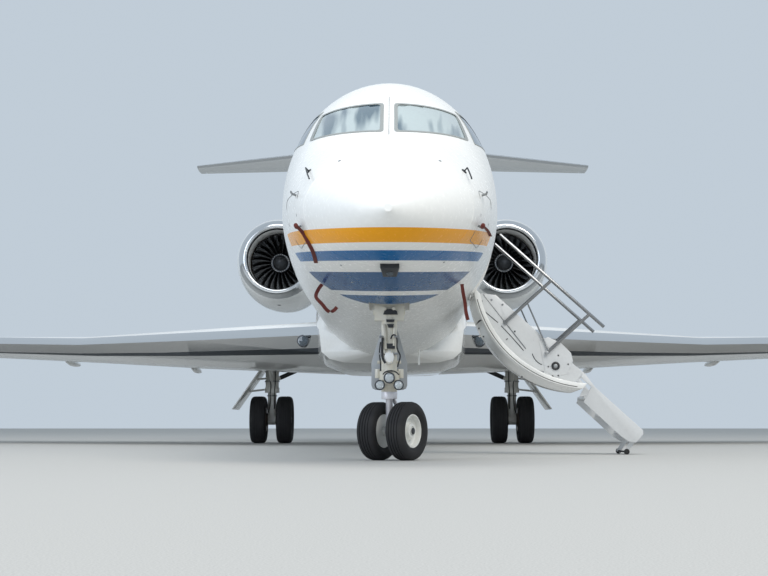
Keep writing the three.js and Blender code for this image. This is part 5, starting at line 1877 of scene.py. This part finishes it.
@dataclass
class MainLeg:
    """One main leg's pipes, collars, brakes and brace jacket.

    Points are measured across and along from the axle's middle, and up from the ground.
    """

    side: str
    sign: int
    # Columns: height, radius, half height.
    rings: tuple[Point, ...] = ((1.3, 0.119, 0.012), (1.12, 0.119, 0.012), (0.86, 0.075, 0.01))
    # Columns: radius, distance along the axle.
    brake: Pairs = ((0.088, 0.07), (0.11, 0.072), (0.13, 0.094), (0.2, 0.094), (0.215, 0.1), (0.215, 0.127),
                    (0.2, 0.132), (0.088, 0.132))

    @property
    def routes(self) -> dict[str, list[Point]]:
        """The points that each pipe passes.

        Returns:
            The points of each pipe by its name.
        """
        return {
            "front": [(0.02, -0.134, 1.38), (0.045, -0.14, 1.2), (0.0, -0.148, 1.05), (0.03, -0.145, 0.92),
                      (0.02, -0.1, 0.8), (0.035, -0.095, 0.64), (0.06, -0.1, 0.55)],
            "rear": [(-0.06, -0.132, 1.36), (-0.075, -0.128, 1.15), (-0.05, -0.14, 0.98), (-0.045, -0.095, 0.8),
                     (-0.05, -0.09, 0.62)],
        }

    def at(self, x: float, y: float, z: float) -> Point:
        """Gives a point near this leg."""
        return (self.sign * (MAIN_AXLE[0] + x), MAIN_AXLE[1] + y, z)

    def pipes(self) -> None:
        """Runs two hydraulic pipes down the leg."""
        for key, route in self.routes.items():
            pipe = tube("pipe", [self.at(*point) for point in route], 0.009)
            settle(pipe, f"main_pipe_{key}_{self.side}", "airframe", HOSE_RUBBER, (), 60)

    def collars(self) -> None:
        """Puts the cast rings round the strut."""
        turn = Matrix.Rotation(math.radians(90), 4, "X")
        parts = []
        for z, radius, half in self.rings:
            profile = [(radius, -half), (radius + 0.015, -half), (radius + 0.019, 0.0), (radius + 0.015, half),
                       (radius, half)]
            parts.append(moved(lathe("ring", profile, 40), Matrix.Translation(self.at(0, 0, z)) @ turn))
        settle(joined(parts, "rings"), f"main_leg_rings_{self.side}", "airframe", CAST_ALUMINIUM)

    def brakes(self) -> None:
        """Puts a brake stack beside each wheel."""
        brake = lathe("brake", self.brake, 48)
        parts = []
        for way in (-1, 1):
            turn = Matrix.Rotation(math.radians(-90 * way), 4, "Z")
            parts.append(duplicate(brake, "brake", Matrix.Translation(self.at(0, 0, MAIN_AXLE[2])) @ turn))
        bpy.data.objects.remove(brake)
        settle(joined(parts, "brakes"), f"main_brakes_{self.side}", "airframe", HOT_STEEL)

    def jacket(self) -> None:
        """Sleeves the side brace from the strut to the wing."""
        start, end = Vector(self.at(0, 0, 1.12)), Vector(self.at(-0.7, -0.06, 1.43))
        jacket = rod("jacket", tuple(start.lerp(end, 0.22)), tuple(start.lerp(end, 0.92)), 0.0395, 32)
        settle(jacket, f"main_brace_jacket_{self.side}", "airframe", TRIM_DARK)

    def build(self) -> None:
        """Builds the leg's details."""
        self.pipes()
        self.collars()
        self.brakes()
        self.jacket()


# Airstair details


@dataclass
class Airstair:
    """Grips, knuckle with its ring, seals, slots, closing strut and rails' feet of the let-down stair.

    The slots, the dots and the knuckle's outline are in the photograph's pixels.
    """

    middle: float = -9.2
    plate: float = 0.376
    treads: tuple[float, ...] = (0.33, 0.64, 0.95, 1.24)
    boards: tuple[float, ...] = (1.7, 1.97, 2.25)
    slots: tuple[Pairs, ...] = (
        ((477.3, 305.1), (487, 313.5), (498.0, 322.6)), ((501.2, 325.8), (512, 337), (523.5, 350.5)),
        ((506.0, 340.0), (507.6, 338.5)), ((552.2, 375.2), (557, 383.2)),
        ((532.3, 353.7), (534.7, 361.6), (541.9, 364.8)),
    )
    dots: Pairs = ((478.9, 328.5), (483.5, 336.5), (514.8, 331.4), (521.9, 376.8))
    knuckle_outline: Pairs = ((539, 341), (548, 337), (561, 343), (571, 353), (573, 361), (567, 374), (556, 377),
                              (545, 371))
    knuckle_ring: Pairs = ((0.045, -0.003), (0.045, -0.016), (0.036, -0.02), (0.026, -0.016), (0.022, -0.003))
    # Columns: distance along the stair, distance inward of the door's chord.
    bolt_places: Pairs = ((0.13, 0.0), (0.2, 0.08), (0.32, 0.12), (1.12, 0.11), (1.26, 0.11), (1.12, -0.05),
                          (1.26, -0.05))
    seal_y: float = 0.442

    def frame(self) -> Matrix:
        """Gives the move from the door's own axes to the open stair."""
        place = Matrix.Translation((STAIR_HINGE[0], self.middle, STAIR_HINGE[1]))
        return place @ Matrix.Rotation(math.radians(STAIR_ANGLE), 4, "Y")

    def at(self, along: float, inward: float, y: float) -> Vector:
        """Gives the world point of a place on the door."""
        return self.frame() @ Vector((-inward, y, along))

    def grips(self, name: str, body: str, rows: Sequence[float], inward: float, half: float, depth: float) -> None:
        """Lays a dark grip pad and a bright nosing on each tread.

        Args:
            name: The piece's name.
            body: The body that carries the treads.
            rows: How far along the stair each tread is.
            inward: How far inward of the door's chord the treads are.
            half: Half the pad's width.
            depth: The tread's depth.
        """
        pads, nosings = [], []
        for along in rows:
            centre = self.at(along, inward, 0.0)
            top = centre.z + 0.0152
            pads.append(block("pad", (centre.x - depth / 2 + 0.01, self.middle - half, top - 0.002),
                              (centre.x + depth / 2 - 0.025, self.middle + half, top + 0.003), 0.001))
            nosings.append(block("nosing", (centre.x + depth / 2 - 0.022, self.middle - half, top - 0.002),
                                 (centre.x + depth / 2 + 0.003, self.middle + half, top + 0.004), 0.0015))
        settle(joined(pads, "pads"), f"{name}_grips", body, GRIP)
        settle(joined(nosings, "nosings"), f"{name}_nosings", body, CAST_ALUMINIUM)

    def knuckle(self) -> None:
        """Builds the plate over the stair's fold, with its dark ring, on both sides."""
        near = self.middle - self.plate - 0.0005
        outline = [tuple(SIGHT.at_depth(near, *pixel)) for pixel in self.knuckle_outline]
        plate = prism("knuckle", outline, (0, -0.0045, 0))
        bevelled(plate, 0.002, 60)
        centre = SIGHT.at_depth(near, 555.5, 366)
        ring = moved(lathe("ring", self.knuckle_ring, 40), Matrix.Translation((centre.x, near, centre.z)))
        cap = rod("cap", (centre.x, near - 0.002, centre.z), (centre.x, near - 0.013, centre.z), 0.021, 32)
        flip = Matrix.Translation((0, 2 * self.middle, 0)) @ Matrix.Scale(-1, 4, (0, 1, 0))
        for name, part, finish, slot in (("plate", plate, STAIR_PAINT, "grey_metal"),
                                         ("ring", ring, TRIM_DARK, "dark_steel"),
                                         ("cap", cap, CAST_ALUMINIUM, "steel")):
            other = duplicate(part, "other", flip)
            settle(joined([part, other], name), f"airstair_knuckle_{name}", "airstair", finish)

    def bolts(self) -> None:
        """Adds the fasteners on the side plates, clear of the handrails' posts."""
        parts = []
        for y in (self.middle - self.plate, self.middle + self.plate):
            for along, inward in self.bolt_places:
                low = self.at(along, inward, 0.0)
                parts.append(rod("bolt", (low.x, y - 0.005, low.z), (low.x, y + 0.005, low.z), 0.012, 6))
        settle(joined(parts, "bolts"), "airstair_bolts", "airstair", STEEL)

    def seals(self) -> None:
        """Lays the dark door seal along both curved edges of the open door."""
        section = Fuselage().at(5.056)
        path = []
        for step in range(29):
            z = 1.8 + step * 0.05
            reach = section.top - section.middle if z > section.middle else section.middle - section.bottom
            x = (section.width - 0.016) * math.sqrt(1 - ((z - section.middle) / (reach - 0.016)) ** 2)
            path.append((z - STAIR_HINGE[1], STAIR_HINGE[0] - x))
        seals = [tube("seal", [self.at(along, inward, y) for along, inward in path], 0.0045)
                 for y in (-self.seal_y, self.seal_y)]
        settle(joined(seals, "seals"), "airstair_edge_seals", "airstair", HOSE_RUBBER, (), 60)

    def panel(self) -> None:
        """Adds the slots, the latch, the closing strut and the rails' foot knuckles beside the panels."""
        near = self.middle - self.plate
        slots = [tube("slot", [SIGHT.at_depth(near, *pixel) for pixel in route], 0.0045) for route in self.slots]
        for pixel in self.dots:
            x, _, z = SIGHT.at_depth(near, *pixel)
            slots.append(rod("dot", (x, near + 0.004, z), (x, near - 0.004, z), 0.009, 16, 0.001))
        settle(joined(slots, "slots"), "airstair_slots", "airstair", TRIM_DARK)
        x, _, z = SIGHT.at_depth(near, 541, 372.8)
        latch = block("latch", (x - 0.03, near - 0.004, z - 0.022), (x + 0.03, near + 0.004, z + 0.022), 0.002)
        strut = rod("strut", SIGHT.at_depth(near, 482.9, 293.9), SIGHT.at_depth(near, 525.9, 348.9), 0.0055, 16)
        settle(joined([latch, strut], "strut"), "airstair_closing_strut", "airstair", STEEL)
        feet = [rod("foot", self.at(1.01, 0.045, way * 0.384), self.at(1.01, 0.045, way * 0.42), 0.021, 32)
                for way in (-1, 1)]
        settle(joined(feet, "feet"), "handrail_feet", "handrails", CAST_ALUMINIUM)

    def build(self) -> None:
        """Builds the stair's details."""
        self.grips("airstair_tread", "airstair", self.treads, -0.112, 0.335, 0.22)
        self.grips("extension_tread", "extension", self.boards, 0.035, 0.29, 0.2)
        self.knuckle()
        self.bolts()
        self.seals()
        self.panel()


# Wing and tail details


@dataclass
class WingFittings:
    """One side's landing lamp, cowl vent, flap fairings, static wicks and tip lamp.

    The lamp's profiles give the radius and the distance behind the glass's edge.
    """

    side: str
    sign: int
    housing: Pairs = ((0.088, -0.015), (0.094, 0.02), (0.098, 0.1), (0.094, 0.22), (0.078, 0.36), (0.045, 0.48),
                      (0.003, 0.54))
    bezel: Pairs = ((0.07, 0.03), (0.086, 0.03), (0.091, -0.02), (0.085, -0.027), (0.073, -0.027), (0.07, -0.02))
    bowl: Pairs = ((0.003, 0.025), (0.03, 0.019), (0.05, 0.005), (0.0705, -0.012))
    glass: Pairs = ((0.0705, -0.016), (0.0705, -0.021), (0.045, -0.027), (0.003, -0.03))
    fairing_places: tuple[float, ...] = (3.6, 6.1, 8.7)
    # Columns: distance along, half width, height, depth, how far it hangs down.
    fairing_rings: tuple[tuple[float, float, float, float, float], ...] = (
        (-0.5, 0.003, 0.003, 0.003, 0.01), (-0.46, 0.02, 0.015, 0.02, 0.012), (-0.3, 0.045, 0.03, 0.05, 0.015),
        (0.0, 0.062, 0.035, 0.085, 0.02), (0.3, 0.058, 0.035, 0.08, 0.03), (0.6, 0.04, 0.03, 0.055, 0.045),
        (0.8, 0.02, 0.02, 0.03, 0.055), (0.88, 0.004, 0.004, 0.004, 0.06),
    )
    wick_places: tuple[float, ...] = (10.4, 11.4, 12.4)

    def landing_lamp(self) -> None:
        """Sets the round lamp into the leading edge beside the root."""
        wing = bpy.data.objects[f"wing_{self.side}_skin"]
        point = cast(wing, (self.sign * 1.353, -6.0, 1.687), (0, 1, 0))
        turn = Matrix.Rotation(math.radians(self.sign * 8), 4, "Z")
        place = Matrix.Translation(point + Vector((0, 0.03, -0.08))) @ turn
        housing = moved(lathe("housing", self.housing, 48, closed=False), Matrix.Translation(place.translation))
        settle(housing, f"landing_lamp_housing_{self.side}", "airframe", POLISHED_ALUMINIUM, (), 50)
        bezel = lathe("bezel", self.bezel, 48)
        settle(moved(bezel, place), f"landing_lamp_bezel_{self.side}", "airframe", TITANIUM)
        bowl = lathe("bowl", self.bowl, 48, closed=False)
        settle(moved(bowl, place), f"landing_lamp_bowl_{self.side}", "airframe", CAST_ALUMINIUM)
        glass = lathe("glass", self.glass, 48, closed=False)
        settle(moved(glass, place), f"landing_lamp_glass_{self.side}", "airframe", CABIN_GLASS)

    def cowl_vent(self) -> None:
        """Puts the small dark drain vent under the engine cowl's front."""
        cowl = bpy.data.objects[f"cowl_{self.side}_skin"]
        point, normal = SIGHT.on(cowl, 505.2 if self.sign > 0 else 279.1, 305.2)
        vent = rod("vent", point - normal * 0.01, point + normal * 0.004, 0.036, 24)
        settle(vent, f"cowl_vent_{self.side}", "airframe", TRIM_DARK)

    def fairings(self) -> None:
        """Builds the slim fairings over the flap tracks."""
        wing = bpy.data.objects[f"wing_{self.side}_skin"]
        parts = []
        for x in self.fairing_places:
            front, chord = wing_at(x)
            station = front + chord * 0.62
            z = cast(wing, (self.sign * x, y_at(station), 0.5), (0, 0, 1)).z + 0.015
            rings = [Ring(y_at(station) + shift, width, up, down, self.sign * x, z - lower)
                     for shift, width, up, down, lower in self.fairing_rings]
            parts.append(ring_stack("fairing", rings, 24))
        settle(joined(parts, "fairings"), f"flap_fairings_{self.side}", "airframe", WHITE_PAINT)

    def wicks(self) -> None:
        """Sets thin static wicks on the aileron's trailing edge."""
        parts = []
        for x in self.wick_places:
            front, chord = wing_at(x)
            station = front + chord
            z = 1.8 + (x - 8.0) * 0.0396 - chord * 0.0087
            start = (self.sign * x, y_at(station) - 0.02, z)
            parts.append(rod("wick", start, (self.sign * x, y_at(station) + 0.12, z - 0.005), 0.004, 8, 0.001))
        settle(joined(parts, "wicks"), f"aileron_wicks_{self.side}", f"aileron_{self.side}", TRIM_DARK)

    def tip_lamp(self) -> None:
        """Sets the coloured position lamp into the winglet's foot: red on the left, green on the right."""
        colour = "#B3261C" if self.sign > 0 else "#1E8A4C"
        finish = Finish(f"glass_position_{self.side}", colour, 0.08, transmission=0.4, glow=0.2)
        wing = bpy.data.objects[f"wing_{self.side}_skin"]
        found, point, _, _ = wing.closest_point_on_mesh(Vector((self.sign * 13.9, y_at(19.4), 2.16)))
        if not found:
            raise ValueError("no place for the tip lamp")
        lens = lathe("lens", [(0.003, -0.03), (0.02, -0.024), (0.03, 0.0), (0.03, 0.04)], 24, closed=False)
        settle(moved(lens, Matrix.Translation(point)), f"position_lamp_{self.side}", "airframe", finish)

    def build(self) -> None:
        """Builds the wing's fittings."""
        self.landing_lamp()
        self.cowl_vent()
        self.fairings()
        self.wicks()
        self.tip_lamp()


def cast(obj: Object, start: Point, way: Point) -> Vector:
    """Finds where a straight line meets a piece.

    Args:
        obj: The piece, whose place is in its mesh.
        start: Where the line starts.
        way: Its direction.

    Returns:
        The first point on the piece.
    """
    found, point, _, _ = obj.ray_cast(Vector(start), Vector(way))
    if not found:
        raise ValueError(f"the line from {start} misses {obj.name}")
    return point


def blade_antenna(name: str, hull: Object, station: float, height: float, up: int) -> None:
    """Sets a swept blade antenna on the hull's middle line.

    Args:
        name: The piece's name.
        hull: The hull's skin.
        station: Its station.
        height: How far it stands out.
        up: 1 above the hull, -1 below it.
    """
    y = y_at(station)
    z = cast(hull, (0, y + 0.15, up * 9.0), (0, 0, -up)).z
    outline = [(0.006, y, z - up * 0.02), (0.006, y + 0.26, z - up * 0.02), (0.006, y + 0.3, z + up * height),
               (0.006, y + 0.17, z + up * height)]
    fin = prism(name, outline, (-0.012, 0, 0))
    bevelled(fin, 0.005, 60, 3)
    settle(fin, name, "airframe", WHITE_PAINT)


def hull_fittings(hull: Object) -> None:
    """Sets the antennas, the beacons, the drain mast and the tail lamp.

    Args:
        hull: The hull's skin, which the fittings stand on.
    """
    blade_antenna("antenna_top_front", hull, 6.4, 0.18, 1)
    blade_antenna("antenna_top_rear", hull, 12.8, 0.2, 1)
    blade_antenna("antenna_belly", hull, 8.6, 0.13, -1)
    mast = SIGHT.at_depth(y_at(10.2), 419, 361)
    foot = cast(hull, (mast.x, mast.y, 0.0), (0, 0, 1)).z
    path = [(mast.x, mast.y, foot + 0.02), (mast.x, mast.y + 0.02, mast.z + 0.05),
            (mast.x, mast.y + 0.05, mast.z - 0.05)]
    settle(tube("drain", path, 0.014), "drain_mast", "airframe", WHITE_PAINT)
    dome = [(0.05, -0.02), (0.05, 0.01), (0.044, 0.035), (0.03, 0.055), (0.003, 0.066)]
    fairing = bpy.data.objects["belly_fairing_skin"]
    for name, skin, station, way in (("beacon_top", hull, 16.0, 1), ("beacon_belly", fairing, 14.2, -1)):
        place = cast(skin, (0, y_at(station), way * 9.0), (0, 0, -way))
        lens = lathe("lens", dome, 32, closed=False)
        turn = Matrix.Rotation(math.radians(way * 90), 4, "X")
        settle(moved(lens, Matrix.Translation(place) @ turn), name, "airframe", BEACON_GLASS)
    tail = lathe("tail_lamp", [(0.05, -0.03), (0.05, 0.03), (0.035, 0.055), (0.003, 0.062)], 32, closed=False)
    tail = moved(tail, Matrix.Translation((0, y_at(28.8), 7.51)))
    settle(tail, "tail_lamp", "airframe", LAMP_GLASS)


# The cabin


@dataclass
class Cabin:
    """The carpeted floor and the seats, with their leather cushions."""

    hull: Fuselage
    floor_top: float = 1.74
    # Columns: across, the back's station, width, way that it faces.
    seats: tuple[tuple[float, float, float, int], ...] = (
        (0.48, 3.45, 0.48, 1), (-0.48, 3.45, 0.48, 1), (0.62, 8.3, 0.56, 1), (-0.62, 8.3, 0.56, 1),
        (0.62, 9.5, 0.56, -1), (-0.62, 9.5, 0.56, -1), (0.62, 12.0, 0.56, 1), (-0.62, 12.0, 0.56, 1),
        (0.62, 14.6, 0.56, 1), (-0.62, 14.6, 0.56, 1),
    )

    def cushion(self, name: str, low: Point, high: Point, across: int) -> Object:
        """Makes a crowned cushion whose corners pull in.

        Args:
            name: The piece's name.
            low: Its box's low corner.
            high: Its box's high corner.
            across: The axis along which it is thin.

        Returns:
            The cushion, before its finish.
        """
        clear_selection()
        bpy.ops.mesh.primitive_cube_add(size=2.0)
        pad = started(name)
        with editing(pad):
            select_mesh()
            bpy.ops.mesh.subdivide(number_cuts=6)
        half = (Vector(high) - Vector(low)) / 2
        middle = (Vector(high) + Vector(low)) / 2
        flat = [axis for axis in range(3) if axis != across]
        for vertex in pad.data.vertices:
            u, v = vertex.co[flat[0]], vertex.co[flat[1]]
            crown = (1 - u**4) * (1 - v**4)
            shape = vertex.co.copy()
            shape[across] *= 0.62 + 0.38 * crown
            for axis, other in ((flat[0], v), (flat[1], u)):
                shape[axis] *= 1 - 0.05 * other**4
            vertex.co = middle + Vector(shape[axis] * half[axis] for axis in range(3))
        modify(pad, "SUBSURF", levels=1, render_levels=1)
        return pad

    def piping(self, low: Point, high: Point) -> Object:
        """Runs a sewn piping round a seat cushion's edge.

        Args:
            low: The cushion's corner with the lowest values.
            high: The corner with the highest.

        Returns:
            The piping.
        """
        inset = 0.012
        z = (low[2] + high[2]) / 2
        outline = [(low[0] + inset, low[1] + inset), (high[0] - inset, low[1] + inset),
                   (high[0] - inset, high[1] - inset), (low[0] + inset, high[1] - inset)]
        points = []
        for first, second in zip(outline, outline[1:] + outline[:1]):
            points += [(first[0] + (second[0] - first[0]) * share, first[1] + (second[1] - first[1]) * share, z)
                       for share in (0.06, 0.35, 0.65, 0.94)]
        return tube("piping", points + points[:1], 0.006)

    def seat(self, index: int, x: float, station: float, width: float, facing: int) -> None:
        """Builds one seat: a foot with its back shell, two cushions, a headrest and a piping.

        Args:
            index: Its number.
            x: Its middle across.
            station: Its back's station.
            width: Its width.
            facing: 1 where it looks forward.
        """
        def span(inset: float, near: float, far: float, bottom: float, top: float) -> tuple[Point, Point]:
            ends = sorted(y_at(station) - facing * depth for depth in (near, far))
            half = width / 2 - inset
            return ((x - half, ends[0], self.floor_top + bottom), (x + half, ends[1], self.floor_top + top))

        foot = block("foot", *span(0.11, 0.08, 0.5, -0.001, 0.26), 0.02, 3)
        shell = block("shell", *span(0.02, 0.0, 0.035, 0.24, 1.05), 0.015, 3)
        settle(joined([foot, shell], "frame"), f"seat_{index}_frame", "airframe", TRIM_DARK)
        soft = {
            "seat": self.cushion("seat", *span(0.0, 0.05, 0.56, 0.24, 0.38), 2),
            "back": self.cushion("back", *span(0.01, 0.02, 0.15, 0.37, 0.92), 1),
            "head": self.cushion("head", *span(0.12, 0.03, 0.14, 0.9, 1.075), 1),
        }
        for key, pad in soft.items():
            settle(pad, f"seat_{index}_{key}_cushion", "airframe", LEATHER, (), 60)
        low, high = span(0.0, 0.05, 0.56, 0.24, 0.38)
        settle(self.piping(low, high), f"seat_{index}_piping", "airframe", LEATHER, (), 60)

    def build(self) -> None:
        """Builds the floor, which stands for the CAD's floor and seats, and then the seats."""
        floor = self.hull.form("floor", 2.25, 17.2, -0.0605)
        boolean(floor, block("slab", (-1.4, y_at(2.25), 1.6605), (1.4, y_at(17.2), self.floor_top)), "INTERSECT")
        settle(floor, "cabin_floor_skin", "airframe", CARPET, ["cabin_floor"])
        for index, row in enumerate(self.seats):
            self.seat(index, *row)


# The stage


@dataclass(frozen=True)
class Stage:
    """A pale floor, soft lights and the camera at the photograph's angle."""

    sight: Sight = SIGHT

    def floor(self) -> None:
        """Lays a wide pale floor."""
        clear_selection()
        bpy.ops.mesh.primitive_plane_add(size=600, location=(0, 0, 0))
        ground = started("studio_floor")
        ground.data.materials.append(FLOOR.material())

    def light(self, name: str, place: Point, target: Point, size: float, power: float, colour: str) -> None:
        """Adds a square soft light that faces a point.

        Args:
            name: The lamp's name.
            place: Where it stands.
            target: The point that it faces.
            size: The length of its side, in metres.
            power: Its power in watts.
            colour: Its colour as # and six hex digits.
        """
        lamp = bpy.data.lights.new(name, "AREA")
        lamp.shape = "SQUARE"
        lamp.size = size
        lamp.energy = power
        lamp.color = linear(colour)[:3]
        obj = bpy.data.objects.new(name, lamp)
        bpy.context.scene.collection.objects.link(obj)
        obj.location = place
        obj.rotation_euler = (Vector(target) - Vector(place)).to_track_quat("-Z", "Y").to_euler()

    def build(self) -> None:
        """Sets the floor, the lights, the pale surround and the camera."""
        self.floor()
        self.light("key", (14, -34, 26), (0, 0, 2.5), 16, 6000, "#FFF8EE")
        self.light("fill", (-24, -30, 12), (0, 0, 2.5), 20, 4000, "#EAF2FF")
        self.light("top", (0, -16, 34), (0, 0, 0), 26, 4500, "#FFFFFF")
        world = bpy.data.worlds.new("studio")
        bpy.context.scene.world = world
        world.use_nodes = True
        back = world.node_tree.nodes["Background"]
        back.inputs["Color"].default_value = linear("#D5E2EE")
        back.inputs["Strength"].default_value = 0.8
        data = bpy.data.cameras.new("camera")
        data.lens = self.sight.lens
        data.sensor_width = self.sight.sensor
        camera = bpy.data.objects.new("camera", data)
        bpy.context.scene.collection.objects.link(camera)
        camera.location = self.sight.camera
        camera.rotation_euler = (math.radians(90 + self.sight.pitch), 0, math.radians(self.sight.yaw))
        bpy.context.scene.camera = camera
        bpy.context.scene.view_settings.view_transform = "Standard"


def main() -> None:
    """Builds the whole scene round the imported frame."""
    logging.basicConfig(level=logging.INFO, format="%(name)s %(message)s", stream=sys.stdout)
    FRAME.update(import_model())
    Stage().build()
    fuselage = Fuselage()
    hull = fuselage.build()
    plain_dress()
    NoseFittings(hull).build()
    Seams(hull).build()
    NoseLeg().build()
    Airstair().build()
    for side, sign in SIDES.items():
        Nacelle(side, sign).build()
        MainLeg(side, sign).build()
        WingFittings(side, sign).build()
        x, y, z = MAIN_AXLE
        TwinWheels(f"main_{side}", f"main_wheels_{side}", (sign * x, y, z), radius=z, width=0.285, rim=0.255,
                   offset=0.238, axle=0.042, boss=0.08).build()
    TwinWheels("nose", "nose_wheels", (0.0275, -12.152369, 0.256), radius=0.256, width=0.178, rim=0.148,
               offset=0.146, axle=0.028, boss=0.048, steer=-30.0).build()
    hull_fittings(hull)
    Cabin(fuselage).build()


if __name__ == "__main__":
    main()
